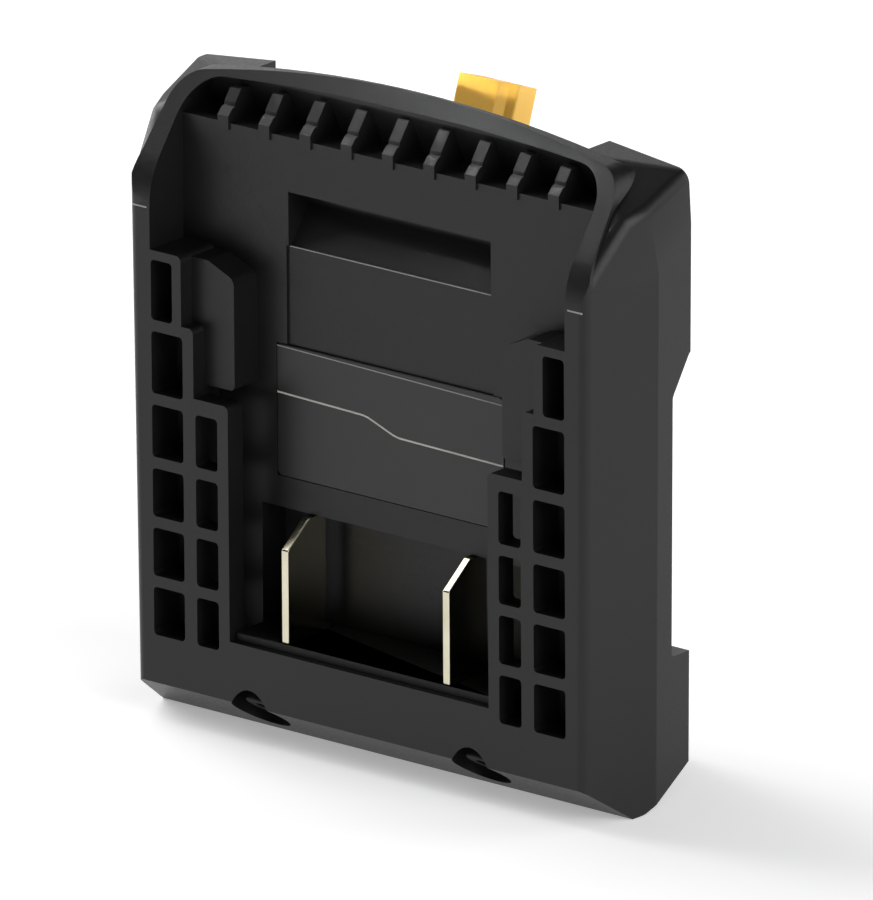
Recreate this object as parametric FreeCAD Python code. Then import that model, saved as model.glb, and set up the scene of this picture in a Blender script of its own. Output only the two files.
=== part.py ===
import FreeCAD, Part
import math
import os

# Slide-on battery adapter: a moulded plate that a tool battery slides onto, with two blade
# terminals at its foot and a two-pole power connector at its head.
# Millimetres, X to the right, Y from the front face to the back, Z up, symmetrical about X = 0.
# Every size below is measured from the front mating face (Y = 0) and the bottom edge (Z = 0).
# The finished solids are moved forward by half of the overall depth, so that the origin lies
# under the middle of the object.

# Outer shape of the front shell
front_half_width = 39.5
side_flare = 3.4
side_draft = 0.573
side_face_start = 11.75
shell_depth = 18.9
front_corner_radius = 1.6
side_corner_radius = 1.2
bottom_corner_radius = 1.5
front_chamfer_height = 5.6
front_chamfer_depth = 8.1
rear_chamfer_height = 5.8
foot_width = 1.3
foot_rise = 1.25

# Hood: the front face leans back above the bend line, and a raised rim edges the opening
bend_height = 74.4
bend_radius = 12.0
rim_lean = 37.0
core_lean = 40.0
crest_depth = 12.7
crest_flat = 0.4
roof_slope = 36.0
crown_radius = 208.0
rim_foot_flare = 2.3
rim_foot_drop = 3.4
rim_low_flare = 0.4
rim_low_rise = 11.1
rim_high_inset = 0.3
rim_high_rise = 7.5
rim_corner_radius = 5.0

# Shoulders beside the hood, behind the rim
shoulder_inner = 29.5
deck_drop = 2.77
deck_fall = 1.65
deck_corner_radius = 2.2
deck_front_radius = 4.0
shoulder_front_radius = 2.2
side_crease_drop = 7.3
side_crease_fall = 5.6
facet_crease_drop = 1.1
facet_lean = 1.0
side_lean = 3.0
corner_cut_drop = 4.8
corner_cut_inner = 33.0
corner_cut_setback = 1.2
corner_cut_radius = 5.0

# Finger groove in each rear side corner
groove_width = 3.2
groove_depth = 3.85
groove_bottom = 21.9
groove_top_front = 59.4
groove_top_rear = 65.3
groove_radius = 1.5
groove_foot_radius = 0.6

# Bay that the battery's foot enters, with its floor panel
bay_side_wall = 2.8
rim_band_height = 2.22
bay_crown_radius = 450.0
bay_corner_radius = 5.5
floor_depth = 7.3
floor_wall = 2.0
hood_face_height = 6.45
hood_wall_points = [(10.9, -0.05), (11.1, 0.95), (12.4, 3.75)]
hood_wall_foot_depth = 13.7
lip_height = 14.3
lip_wall = 1.0

# Row of ribs under the hood
rib_count = 9
rib_pitch = 7.3
rib_width = 1.9
rib_setback = 0.35
rib_foot_proud = 0.3
rib_foot_height = 1.0
rib_foot_slope = 0.9
rib_ledge_depth = 0.6
rib_ledge_rise = 0.2
rib_face_start = 2.6
rib_top_drop = 1.25

# Rails down both sides of the bay, stepped in towards the lip
rail_inner_low = 23.0
rail_step_middle = 6.1
rail_step_top = 2.1
rail_bar_top = 1.35
rail_bar_middle = 1.6
rail_bar_low = 2.25
flange_thickness = 3.2
flange_root = 30.4
rail_edge_radius = 0.8

# Cored pockets in the rails
cell_heights = [7.0, 7.0, 7.0, 7.6, 9.0, 8.7]
cell_bottom = 12.6
cell_bar = 1.65
cell_wall_proud = 0.15
cell_inner_wall = 1.9
cell_inner_wall_top = 1.6
cell_column_bar = 2.2
small_cell_inner_wall = 1.9
small_cell_rows = 4
cell_depth = 5.6
cell_corner_radius = 0.6

# Guide blocks beside the upper rails
guide_setback = 0.7
guide_front = 2.4
guide_lift = 1.5
guide_top_drop = 0.5
guide_chamfer_width = 4.6
guide_chamfer_height = 2.0
guide_radius = 1.5
guide_foot_radius = 0.8

# Latch pocket, the recessed panel under it and the label seat
pocket_half_width = 17.9
pocket_height = 7.8
pocket_drop = 7.9
pocket_depth = 4.6
pocket_toe = 0.6
pocket_flat_height = 2.3
pocket_top_radius = 0.8
pocket_ramp_radius = 1.5
pocket_wall = 1.6
panel_half_width = 18.3
panel_recess = 0.35
label_half_width = 20.1
label_height = 19.1
panel_height = 14.4
label_thickness = 0.5
label_proud = 0.1
label_gap = 0.1
label_corner_radius = 0.8

# Terminal bay
terminal_bay_drop = 4.6
terminal_bay_depth = 12.4
terminal_bay_wall = 1.6

# Terminal block and blades
block_bottom = 10.9
block_height = 4.6
block_gap = 0.15
blade_x = 14.3
blade_thickness = 1.2
blade_seat_rise = 1.3
blade_front = 1.5
blade_back = 9.8
blade_chamfer_height = 3.6
blade_top_drop = 0.2
blade_chamfer_depth = 4.8
blade_slot_gap = 0.1
blade_tail_end = 17.2
blade_tail_height = 2.6
blade_back_radius = 0.8
blade_tip_radius = 0.6
blade_shoulder_radius = 0.4

# Inside of the shell and the rear cover's plate
cavity_side_wall = 2.1
cavity_bottom = 9
cavity_top = 85
cover_gap = 0.2
cover_plate_thickness = 2.2
cover_corner_radius = 2.0

# Raised housing on the rear cover
housing_half_width = 27.0
housing_depth = 15.1
housing_wall = 2.2
housing_corner_radius = 3.0
housing_opening_bottom = 10.6
housing_opening_top = 79.6

# Power connector, tilted back, and the slanted roof it stands in
connector_tilt = 19.5
connector_mouth_depth = 31.2
connector_mouth_height = 92.3
connector_width = 10.0
connector_thickness = 5.5
connector_key_step = 1.1
connector_key_width = 1.7
connector_length = 16.0
connector_edge_radius = 0.5
connector_key_radius = 0.3
roof_drop = 9.0
roof_wall = 3.0
connector_gap = 0.15
collar_overhang = 1.5
collar_height = 2.0
contact_spacing = 5.0
contact_radius = 1.6
contact_bore_radius = 1.0
contact_gap = 0.05
contact_recess = 1.0
contact_tail = 4.0
clamp_half_width = 13.6
clamp_half_depth = 4.5
clamp_height = 3.0
clamp_screw_x = 10.0
clamp_boss_radius = 3.2
clamp_corner_radius = 2.0

# Circuit board and what stands on it
board_half_width = 20.0
board_height = 44.0
board_head_room = 3.85
board_front = 26.0
board_thickness = 1.6
board_corner_radius = 1.0
board_post_radius = 3.0
board_post_inset = 3.6
capacitor_radius = 4.0
capacitor_length = 12.0
capacitor_x = -13.0
capacitor_rise = 18.0
switch_width = 6.6
switch_height = 6.2
switch_thickness = 2.3
switch_spacing = 9.0
switch_x = 10.5
switch_rise = 12.0
chip_width = 5.0
chip_height = 4.0
chip_thickness = 1.6
chip_x = -1.5
chip_rise = 23.0
fuse_length = 10.0
fuse_height = 4.4
fuse_thickness = 3.6
fuse_x = 10.5
fuse_rise = 24.0
shunt_width = 6.4
shunt_height = 3.2
shunt_thickness = 1.0
shunt_x = -1.5
shunt_rise = 12.0

# Leads and the sleeves on their soldered ends
lead_radius = 1.3
sleeve_wall = 0.35
sleeve_gap = 0.05
sleeve_start = 1.0
sleeve_end_gap = 0.5
lead_straight = 5.0
lead_bend_share = 0.45
lead_draw_in = 0.8
lead_lift = 0.05
battery_lead_step = 0.6
battery_lead_slack = 0.4
output_lead_slack = 1.2
output_lead_rise = 6.0
battery_lead_low_depth = 21.8
battery_lead_rise = 18.1
battery_lead_low_x = 14.0
battery_pad_x = 11.5
battery_pad_rise = 7.5
output_pad_x = 6.5
output_pad_drop = 14.5

# Screws
screw_shank_radius = 1.45
screw_bore_radius = 1.5
screw_clear_radius = 1.7
screw_head_radius = 2.8
screw_head_height = 1.9
screw_cone_height = 1.5
screw_socket_radius = 1.25
screw_socket_depth = 1.1
screw_tip_room = 0.3
countersink_gap = 0.1
case_screw_length = 7.0
case_boss_radius = 3.6
case_screw_inset = 5.0
case_screw_heights = [15.6, 45.6, 79.2]
lip_screw_x = 19.6
lip_screw_slope_position = 3.1
lip_recess_radius = 4.4
lip_recess_depth = 3.0
lip_screw_length = 6.4
lip_screw_tip_room = 0.5
clamp_screw_length = 6.0
board_screw_length = 5.0

# Construction margins: how far a cutter runs past a face, how deep a boss sinks into a wall, the
# size of a block without an end, how close two places count as the same, and the distance between
# the points that a slanted plane is laid through
overrun = 1.0
sink = 0.5
far = 300.0
near_enough = 0.1
sample_length = 10.0

# Worked-out widths
side_half_width = front_half_width + side_flare
rim_foot_half_width = front_half_width + rim_foot_flare
rim_half_width_low = front_half_width + rim_low_flare
rim_half_width_high = front_half_width - rim_high_inset
bay_half_width = front_half_width - bay_side_wall
cell_outer_edge = bay_half_width - cell_wall_proud
cavity_half_width = front_half_width - cavity_side_wall
case_screw_x = cavity_half_width - case_screw_inset

# Worked-out rails
rail_inner_middle = rail_inner_low + rail_step_middle
rail_inner_top = rail_inner_middle + rail_step_top
cell_inner_edge = rail_inner_middle + cell_inner_wall
cell_inner_edge_top = rail_inner_top + cell_inner_wall_top
small_cell_outer_edge = cell_inner_edge - cell_column_bar
small_cell_inner_edge = rail_inner_low + small_cell_inner_wall
guide_inner = rail_inner_low + guide_setback
rail_height_low = cell_bottom + sum(cell_heights[:4]) + 3 * cell_bar + rail_bar_low
rail_height_middle = cell_bottom + sum(cell_heights[:5]) + 4 * cell_bar + rail_bar_middle
rail_height_top = cell_bottom + sum(cell_heights) + 5 * cell_bar + rail_bar_top
guide_bottom = rail_height_low + guide_lift
guide_top = rail_height_top - guide_top_drop

# Worked-out heights
bend_tangent = bend_radius * math.tan(math.radians(rim_lean) / 2)
crest_height = bend_height + bend_tangent + crest_depth / math.tan(math.radians(rim_lean))
widest_half_width = side_half_width + crest_height * math.tan(math.radians(side_draft))
rim_foot_height = bend_height - rim_foot_drop
rim_low_height = rim_foot_height + rim_low_rise
rim_high_height = rim_low_height + rim_high_rise
bay_top = crest_height - rim_band_height
floor_top = bay_top - hood_face_height
pocket_top = floor_top - pocket_drop
pocket_bottom = pocket_top - pocket_height
label_top = pocket_bottom - panel_height
label_bottom = label_top - label_height
terminal_bay_top = label_bottom - terminal_bay_drop
blade_bottom = block_bottom + blade_seat_rise
blade_top = terminal_bay_top - blade_top_drop
blade_shoulder = blade_top - blade_chamfer_height
deck_inner_height = crest_height - deck_drop
deck_outer_height = deck_inner_height - deck_fall
side_crease_rear = deck_outer_height - side_crease_drop
side_crease_front = side_crease_rear - side_crease_fall
facet_crease_height = side_crease_front - facet_crease_drop
corner_cut_height = deck_outer_height - corner_cut_drop
tail_reach = (connector_length + contact_tail) * math.cos(math.radians(connector_tilt))
board_top = connector_mouth_height - tail_reach - board_head_room
board_bottom = board_top - board_height

# Worked-out depths
overall_depth = shell_depth + housing_depth
plate_front = shell_depth - cover_plate_thickness
chamfer_slope = math.hypot(front_chamfer_depth, front_chamfer_height)
board_back = board_front + board_thickness
housing_back = shell_depth + housing_depth
housing_inner_back = housing_back - housing_wall


def vector(x, y, z):
    return FreeCAD.Vector(x, y, z)


def box(x0, x1, y0, y1, z0, z1):
    """A box between two corners."""
    return Part.makeBox(x1 - x0, y1 - y0, z1 - z0, vector(x0, y0, z0))


def rod(start, direction, radius, length):
    """A round rod from a point along a direction."""
    return Part.makeCylinder(radius, length, start, direction)


def corner_arc(before, corner, after, radius):
    """Both tangent points and the arc that rounds one corner of an outline."""
    to_before = (before - corner).normalize()
    to_after = (after - corner).normalize()
    half_angle = to_before.getAngle(to_after) / 2
    reach = radius / math.tan(half_angle)
    start = corner + to_before * reach
    end = corner + to_after * reach
    bisector = (to_before + to_after).normalize()
    centre = corner + bisector * (radius / math.sin(half_angle))
    middle = centre - bisector * radius
    return start, end, Part.Arc(start, middle, end).toShape()


def rounded_face(points, radii):
    """A flat face inside a closed outline whose corners are rounded where a radius is given."""
    count = len(points)
    edges = []
    joints = []
    for index in range(count):
        corner = points[index]
        if radii[index] > 0:
            start, end, arc = corner_arc(points[index - 1], corner, points[(index + 1) % count], radii[index])
        else:
            start, end, arc = corner, corner, None
        joints.append((start, end, arc))
    for index in range(count):
        start, end, arc = joints[index]
        if arc is not None:
            edges.append(arc)
        following = joints[(index + 1) % count][0]
        if end.distanceToPoint(following) > 1e-6:
            edges.append(Part.LineSegment(end, following).toShape())
    return Part.Face(Part.Wire(edges))


def prism_x(outline, x0, x1, radii=None):
    """An outline of (y, z) points extruded from x0 to x1."""
    points = [vector(x0, y, z) for y, z in outline]
    face = rounded_face(points, radii or [0] * len(points))
    return face.extrude(vector(x1 - x0, 0, 0))


def prism_y(outline, y0, y1, radii=None):
    """An outline of (x, z) points extruded from y0 to y1."""
    points = [vector(x, y0, z) for x, z in outline]
    face = rounded_face(points, radii or [0] * len(points))
    return face.extrude(vector(0, y1 - y0, 0))


def prism_z(outline, z0, z1, radii=None):
    """An outline of (x, y) points extruded from z0 to z1."""
    points = [vector(x, y, z0) for x, y in outline]
    face = rounded_face(points, radii or [0] * len(points))
    return face.extrude(vector(0, 0, z1 - z0))


def mirrored(shape):
    """The same shape on the other side of X = 0."""
    return shape.mirror(vector(0, 0, 0), vector(1, 0, 0))


def both_sides(shape):
    """A shape and its mirror image."""
    return [shape, mirrored(shape)]


def joined(shapes):
    """One solid from overlapping shapes."""
    return shapes[0].multiFuse(shapes[1:]).removeSplitter()


def selected_edges(shape, wanted):
    """The edges of a shape whose middle point passes a test."""
    chosen = []
    for edge in shape.Edges:
        middle = edge.valueAt(0.5 * (edge.FirstParameter + edge.LastParameter))
        if wanted(edge, middle):
            chosen.append(edge)
    return chosen


def along_y(edge):
    """Whether an edge is a straight line from front to back."""
    start, end = edge.Vertexes[0].Point, edge.Vertexes[-1].Point
    return abs(start.x - end.x) < 1e-6 and abs(start.z - end.z) < 1e-6


def upright(edge):
    """Whether an edge runs from the foot to the top."""
    return abs(edge.Vertexes[0].Point.z - edge.Vertexes[-1].Point.z) > crest_height / 2


def arched_prism(sides, top, radius, corner_radius, y0, y1):
    """An arch from y0 to y1: right side through (x, z) points, mirrored, under a round crown."""
    (low_x, low_z), (high_x, high_z) = sides[-2:]
    over = top + overrun
    over_x = high_x + (high_x - low_x) * (over - high_z) / (high_z - low_z)
    right = sides + [(over_x, over)]
    outline = right + [(-x, z) for x, z in reversed(right)]
    crown = rod(vector(0, y0, top - radius), vector(0, 1, 0), radius, y1 - y0)
    arch = prism_y(outline, y0, y1).common(crown)
    lengthwise = selected_edges(
        arch, lambda edge, middle: along_y(edge) and abs(middle.x) > near_enough)
    highest = max(edge.BoundBox.ZMax for edge in lengthwise)
    corners = [edge for edge in lengthwise if edge.BoundBox.ZMax > highest - near_enough]
    return arch.makeFillet(corner_radius, corners)


def plane(a, b, c, inside):
    """A plane through three points, as a point and the normal that faces away from a fourth."""
    normal = (b - a).cross(c - a).normalize()
    if (inside - a).dot(normal) > 0:
        normal = normal * -1
    return a, normal


def behind(surface):
    """A large block behind a plane."""
    point, normal = surface
    block = Part.makeBox(far, far, far, vector(-far / 2, -far / 2, 0))
    block.Placement = FreeCAD.Placement(point, FreeCAD.Rotation(vector(0, 0, 1), normal * -1))
    return block


def edge_round(first, second, near, radius):
    """The sliver to cut away so that the edge between two planes becomes round."""
    point_a, normal_a = first
    point_b, normal_b = second
    along = normal_a.cross(normal_b).normalize()
    corner = normal_b.cross(along) * point_a.dot(normal_a)
    corner += along.cross(normal_a) * point_b.dot(normal_b)
    corner += normal_a.cross(normal_b) * along.dot(near)
    corner = corner * (1 / normal_a.dot(normal_b.cross(along)))
    both = normal_a + normal_b
    centre = corner - both * (radius / (1 + normal_a.dot(normal_b)))
    start = centre + normal_a * radius
    end = centre + normal_b * radius
    middle = centre + both.normalize() * radius
    outer = [end, end + normal_b, corner + normal_b + normal_a, start + normal_a, start]
    edges = [Part.Arc(start, middle, end).toShape()]
    for index in range(len(outer) - 1):
        edges.append(Part.LineSegment(outer[index], outer[index + 1]).toShape())
    sliver = Part.Face(Part.Wire(edges)).extrude(along * far)
    sliver.translate(along * (-far / 2))
    return sliver


def facet_x(depth, height):
    """Half-width of the shell at a depth and height, in front of the side face."""
    share = depth / side_face_start
    widening = height * math.tan(math.radians(side_draft))
    return front_half_width + (side_half_width - front_half_width) * share + widening


def on_facet(depth, height):
    """A point of the right side facet, or of the side face from its front edge on."""
    return vector(facet_x(min(depth, side_face_start), height), depth, height)


def plan_body():
    """The shell's tapered block: front face, side facets and side faces, with round corners."""
    inside = vector(0, shell_depth / 2, crest_height / 2)
    facet = plane(on_facet(0, 0), on_facet(0, crest_height), on_facet(side_face_start, 0), inside)
    side = plane(on_facet(side_face_start, 0), on_facet(side_face_start, crest_height),
                 on_facet(shell_depth, 0), inside)
    reach = widest_half_width + overrun
    body = box(-reach, reach, 0, shell_depth, 0, crest_height + overrun)
    for surface in (facet, side):
        block = behind(surface)
        body = body.common(block).common(mirrored(block))
    front_edges = selected_edges(body, lambda edge, middle: upright(edge) and middle.y < near_enough)
    body = body.makeFillet(front_corner_radius, front_edges)
    side_edges = selected_edges(
        body, lambda edge, middle: upright(edge) and abs(middle.y - side_face_start) < near_enough)
    return body.makeFillet(side_corner_radius, side_edges)


def leaning_profile(lean, top_points):
    """Side view of the shell: chamfered foot, upright face, round bend and leaning face."""
    bend_corner = (0, bend_height + bend_tangent)
    outline = [
        (front_chamfer_depth, 0),
        (front_chamfer_depth + foot_width, 0),
        (side_face_start, foot_rise),
        (shell_depth, rear_chamfer_height),
    ]
    outline += top_points
    outline += [bend_corner, (0, front_chamfer_height)]
    radii = [0] * len(outline)
    radii[-2] = bend_radius * math.tan(math.radians(rim_lean) / 2) / math.tan(math.radians(lean) / 2)
    reach = widest_half_width + overrun
    return prism_x(outline, -reach, reach, radii)


def lean_point(lean, height):
    """Point (y, z) of a leaning face at a height, from the corner of the bend."""
    return ((height - bend_height - bend_tangent) * math.tan(math.radians(lean)), height)


def roof_crown():
    """A slanted round crown that lets the roof fall away behind the crest."""
    slope = math.radians(roof_slope)
    along = vector(0, math.cos(slope), -math.sin(slope))
    outward = vector(0, math.sin(slope), math.cos(slope))
    radius = crown_radius / math.cos(slope)
    top = vector(0, crest_depth + crest_flat, crest_height)
    return rod(top - outward * radius - along * (far / 2), along, radius, far)


def hood():
    """The arched hood with its raised rim face and its roof sloping down to the back."""
    crest = crest_height
    body = leaning_profile(rim_lean, [(shell_depth, crest), (crest_depth, crest)])
    sides = [
        (rim_foot_half_width, rim_foot_height),
        (rim_half_width_low, rim_low_height),
        (rim_half_width_high, rim_high_height),
    ]
    arch = arched_prism(sides, crest, crown_radius, rim_corner_radius, -overrun,
                        shell_depth + overrun)
    return body.common(arch).common(roof_crown())


def shoulder_planes():
    """The planes of the right shoulder: leaning front, deck, upper facet, upper side and corner cut."""
    inside = vector(shoulder_inner, shell_depth - overrun, bend_height)
    front_low = lean_point(core_lean, bend_height + bend_tangent)
    front_high = lean_point(core_lean, deck_inner_height)
    front = plane(vector(0, *front_low), vector(0, *front_high), vector(sample_length, *front_high),
                  inside)
    deck_rim = vector(shoulder_inner, shell_depth, deck_inner_height)
    deck_side = vector(widest_half_width, shell_depth, deck_outer_height)
    deck = plane(deck_rim, deck_side, deck_side - vector(0, sample_length, 0), inside)
    hinge_front = on_facet(0, facet_crease_height)
    hinge_rear = on_facet(side_face_start, facet_crease_height)
    across = vector(0, 0, 1).cross(hinge_rear - hinge_front).normalize()
    leaned = hinge_front + vector(0, 0, sample_length)
    leaned += across * (sample_length * math.tan(math.radians(facet_lean)))
    facet = plane(hinge_front, hinge_rear, leaned, inside)
    side_front = on_facet(side_face_start, side_crease_front)
    side_rear = on_facet(shell_depth, side_crease_rear)
    inward = sample_length * math.tan(math.radians(side_lean))
    side = plane(side_front, side_rear, side_front + vector(-inward, 0, sample_length), inside)
    cut_depth = lean_point(core_lean, corner_cut_height)[0]
    deck_depth = front_high[0] + corner_cut_setback
    deck_share = (corner_cut_inner - shoulder_inner) / (widest_half_width - shoulder_inner)
    deck_height = deck_inner_height - deck_fall * deck_share
    corner = plane(on_facet(cut_depth, corner_cut_height), on_facet(shell_depth, deck_outer_height),
                   vector(corner_cut_inner, deck_depth, deck_height), inside)
    return front, deck, facet, side, corner


def shoulders():
    """The body behind the rim, with a flat deck on each shoulder and rounded upper corners."""
    top = deck_inner_height + 2 * overrun
    body = leaning_profile(core_lean, [(shell_depth, top), lean_point(core_lean, top)])
    reach = widest_half_width + overrun
    ends = prism_y([(-reach, 0), (reach, 0), (reach, top), (-reach, top)], -overrun, shell_depth)
    front_profile = prism_y(
        [(-side_half_width, 0), (side_half_width, 0), (reach, top), (-reach, top)],
        -overrun, shell_depth, [bottom_corner_radius, bottom_corner_radius, 0, 0])
    body = body.common(ends).common(front_profile)
    body = body.cut(box(-shoulder_inner, shoulder_inner, -overrun, shell_depth + overrun,
                        rim_low_height, top + overrun))
    front, deck, facet, side, corner = shoulder_planes()
    for surface in (deck, facet, side, corner):
        block = behind(surface)
        body = body.common(block).common(mirrored(block))
    near = vector(widest_half_width, side_face_start, deck_outer_height)
    slivers = [
        edge_round(front, facet, near, shoulder_front_radius),
        edge_round(deck, front, near, deck_front_radius),
        edge_round(deck, facet, near, deck_corner_radius),
        edge_round(deck, side, near, deck_corner_radius),
        edge_round(corner, front, near, corner_cut_radius),
        edge_round(corner, deck, near, corner_cut_radius),
        edge_round(corner, facet, near, deck_corner_radius),
        edge_round(corner, side, near, deck_corner_radius),
    ]
    for sliver in slivers:
        body = body.cut(sliver).cut(mirrored(sliver))
    return body


def side_groove():
    """The groove along one rear side corner, with a slanted upper end."""
    front = shell_depth - groove_depth
    outline = [
        (front, groove_bottom),
        (shell_depth + overrun, groove_bottom),
        (shell_depth + overrun, groove_top_rear),
        (shell_depth, groove_top_rear),
        (front, groove_top_front),
    ]
    inner = side_half_width - groove_width
    radii = [groove_foot_radius, 0, 0, groove_radius, groove_radius]
    return prism_x(outline, inner, widest_half_width + overrun, radii)


def outer_body():
    """The closed outer form of the front shell."""
    body = joined([shoulders(), hood()]).common(plan_body())
    return body.cut(Part.makeCompound(both_sides(side_groove())))


def bay_sides():
    """Right side of the bay's opening, as (x, z) points."""
    return [(bay_half_width, lip_height), (bay_half_width, bay_top - 2 * bay_corner_radius)]


def bay_space():
    """The open bay in front of the floor panel, up to the hood."""
    return arched_prism(bay_sides(), bay_top, bay_crown_radius, bay_corner_radius, -overrun, floor_depth)


def hood_space():
    """The deeper space under the hood, in front of its slanted inner wall."""
    reach = hood_wall_foot_depth
    deep = arched_prism(bay_sides(), bay_top, bay_crown_radius, bay_corner_radius, 0, reach)
    over = bay_top + overrun
    outline = [(0, floor_top), (0, over), (hood_wall_points[0][0], over)]
    outline += [(depth, bay_top - drop) for depth, drop in hood_wall_points]
    outline += [(hood_wall_foot_depth, floor_top)]
    return deep.common(prism_x(outline, -bay_half_width, bay_half_width))


def hood_ribs():
    """The ribs that stand under the hood, each with a stepped foot and a leaning face."""
    setback = rib_setback / math.cos(math.radians(rim_lean))
    foot_front = floor_depth - rib_foot_proud
    slope_top = rib_foot_height + rib_foot_slope
    face_low = lean_point(rim_lean, floor_top + rib_face_start)
    face_top = lean_point(rim_lean, bay_top + overrun)
    back = hood_wall_foot_depth + sink
    outline = [
        (foot_front, floor_top - overrun),
        (foot_front, floor_top + rib_foot_height),
        (foot_front + rib_foot_slope, floor_top + slope_top),
        (foot_front + rib_foot_slope + rib_ledge_depth, floor_top + slope_top + rib_ledge_rise),
        (face_low[0] + setback, face_low[1]),
        (face_top[0] + setback, face_top[1]),
        (back, face_top[1]),
        (back, floor_top - overrun),
    ]
    roof = arched_prism(bay_sides(), bay_top - rib_top_drop, bay_crown_radius, bay_corner_radius, 0, back)
    ribs = []
    for index in range(rib_count):
        x = (index - (rib_count - 1) / 2) * rib_pitch
        ribs.append(prism_x(outline, x - rib_width / 2, x + rib_width / 2).common(roof))
    return ribs


def right_rail():
    """The stepped rail on the right of the bay, with its cored pockets and its flange."""
    outline = [
        (bay_half_width + overrun, lip_height - overrun),
        (rail_inner_low, lip_height - overrun),
        (rail_inner_low, rail_height_low),
        (rail_inner_middle, rail_height_low),
        (rail_inner_middle, rail_height_middle),
        (rail_inner_top, rail_height_middle),
        (rail_inner_top, rail_height_top),
        (bay_half_width + overrun, rail_height_top),
    ]
    radii = [0, 0, rail_edge_radius, 0, rail_edge_radius, 0, rail_edge_radius, 0]
    rail = prism_y(outline, 0, floor_depth + overrun, radii)
    channel = box(rail_inner_low - overrun, flange_root, flange_thickness, floor_depth, 0,
                  rail_height_low)
    return rail.cut(channel)


def cell_rows():
    """Bottom and top height of each row of pockets, from the lip upwards."""
    rows = []
    height = cell_bottom
    for size in cell_heights:
        rows.append((height, height + size))
        height += size + cell_bar
    return rows


def right_pockets():
    """The pockets cored into the right rail: one column at the wall and a short one inboard."""
    rows = cell_rows()
    pockets = []
    for index, (low, high) in enumerate(rows):
        inner = cell_inner_edge_top if index == len(rows) - 1 else cell_inner_edge
        outline = [(inner, low), (cell_outer_edge, low), (cell_outer_edge, high), (inner, high)]
        pockets.append(prism_y(outline, -overrun, cell_depth, [cell_corner_radius] * 4))
    for low, high in rows[:small_cell_rows]:
        outline = [
            (small_cell_inner_edge, low),
            (small_cell_outer_edge, low),
            (small_cell_outer_edge, high),
            (small_cell_inner_edge, high),
        ]
        pockets.append(prism_y(outline, -overrun, flange_thickness + overrun,
                               [cell_corner_radius] * 4))
    return pockets


def right_guide():
    """The guide block beside the upper part of the right rail."""
    outline = [
        (rail_inner_top + overrun, guide_bottom),
        (guide_inner, guide_bottom),
        (guide_inner, guide_top - guide_chamfer_height),
        (guide_inner + guide_chamfer_width, guide_top),
        (rail_inner_top + overrun, guide_top),
    ]
    radii = [0, guide_foot_radius, guide_radius, guide_radius, 0]
    return prism_y(outline, guide_front, floor_depth + overrun, radii)


def latch_pocket():
    """The pocket that the battery's latch drops into: deep at the top, rising to the front below."""
    outline = [
        (floor_depth - overrun, pocket_bottom),
        (floor_depth - overrun, pocket_top),
        (floor_depth + pocket_depth, pocket_top),
        (floor_depth + pocket_depth, pocket_top - pocket_flat_height),
        (floor_depth + pocket_toe, pocket_bottom),
    ]
    radii = [0, 0, pocket_top_radius, pocket_ramp_radius, 0]
    return prism_x(outline, -pocket_half_width, pocket_half_width, radii)


def floor_recesses():
    """The shallow panel under the latch pocket and the seat of the label."""
    panel = box(-panel_half_width, panel_half_width, 0, floor_depth + panel_recess, label_top, pocket_bottom)
    seat_depth = floor_depth + label_thickness - label_proud
    seat = box(-label_half_width - label_gap, label_half_width + label_gap, 0, seat_depth,
               label_bottom - label_gap, label_top + label_gap)
    return [panel, seat]


def terminal_bay():
    """The deep bay behind the lip that holds the blades, and the block's seat under it."""
    seat_top = lip_height + overrun
    bay = box(-rail_inner_low, rail_inner_low, 0, terminal_bay_depth, lip_height, terminal_bay_top)
    channel = box(-flange_root, flange_root, flange_thickness, floor_depth, block_bottom, seat_top)
    seat = box(-rail_inner_low, rail_inner_low, lip_wall, terminal_bay_depth, block_bottom, seat_top)
    return [bay, channel, seat]


def blade_slots():
    """Slots for both blades' tails, through the wall behind the terminal block."""
    half = blade_thickness / 2 + blade_slot_gap
    back = terminal_bay_depth + terminal_bay_wall + overrun
    return both_sides(box(blade_x - half, blade_x + half, terminal_bay_depth - overrun, back,
                          blade_bottom - blade_slot_gap, blade_bottom + blade_tail_height + blade_slot_gap))


def shell_cavity():
    """The hollow behind the floor panel, less the backs of the pocket, the bay and the bosses."""
    space = box(-cavity_half_width, cavity_half_width, floor_depth + floor_wall, shell_depth + overrun,
                cavity_bottom, cavity_top)
    pocket_back = floor_depth + pocket_depth + pocket_wall
    pocket_cover = box(-pocket_half_width - pocket_wall, pocket_half_width + pocket_wall, 0, pocket_back,
                       pocket_bottom - pocket_wall, pocket_top + pocket_wall)
    bay_cover = box(-rail_inner_low - terminal_bay_wall, rail_inner_low + terminal_bay_wall, 0,
                    terminal_bay_depth + terminal_bay_wall, 0, terminal_bay_top + terminal_bay_wall)
    kept = [pocket_cover, bay_cover]
    for x, z in case_screw_places():
        kept.append(rod(vector(x, 0, z), vector(0, 1, 0), case_boss_radius, plate_front))
    return space.cut(Part.makeCompound(kept))


def case_screw_places():
    """Where the rear cover's screws stand, as (x, z)."""
    return [(side * case_screw_x, z) for side in (-1, 1) for z in case_screw_heights]


def lip_axis():
    """Direction square to the bottom chamfer, into the shell."""
    return vector(0, front_chamfer_height / chamfer_slope, front_chamfer_depth / chamfer_slope)


def lip_recess_floor(side):
    """Middle of the floor of one screw recess in the bottom chamfer."""
    share = lip_screw_slope_position / chamfer_slope
    on_chamfer = vector(side * lip_screw_x, share * front_chamfer_depth, (1 - share) * front_chamfer_height)
    return on_chamfer + lip_axis() * lip_recess_depth


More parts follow.
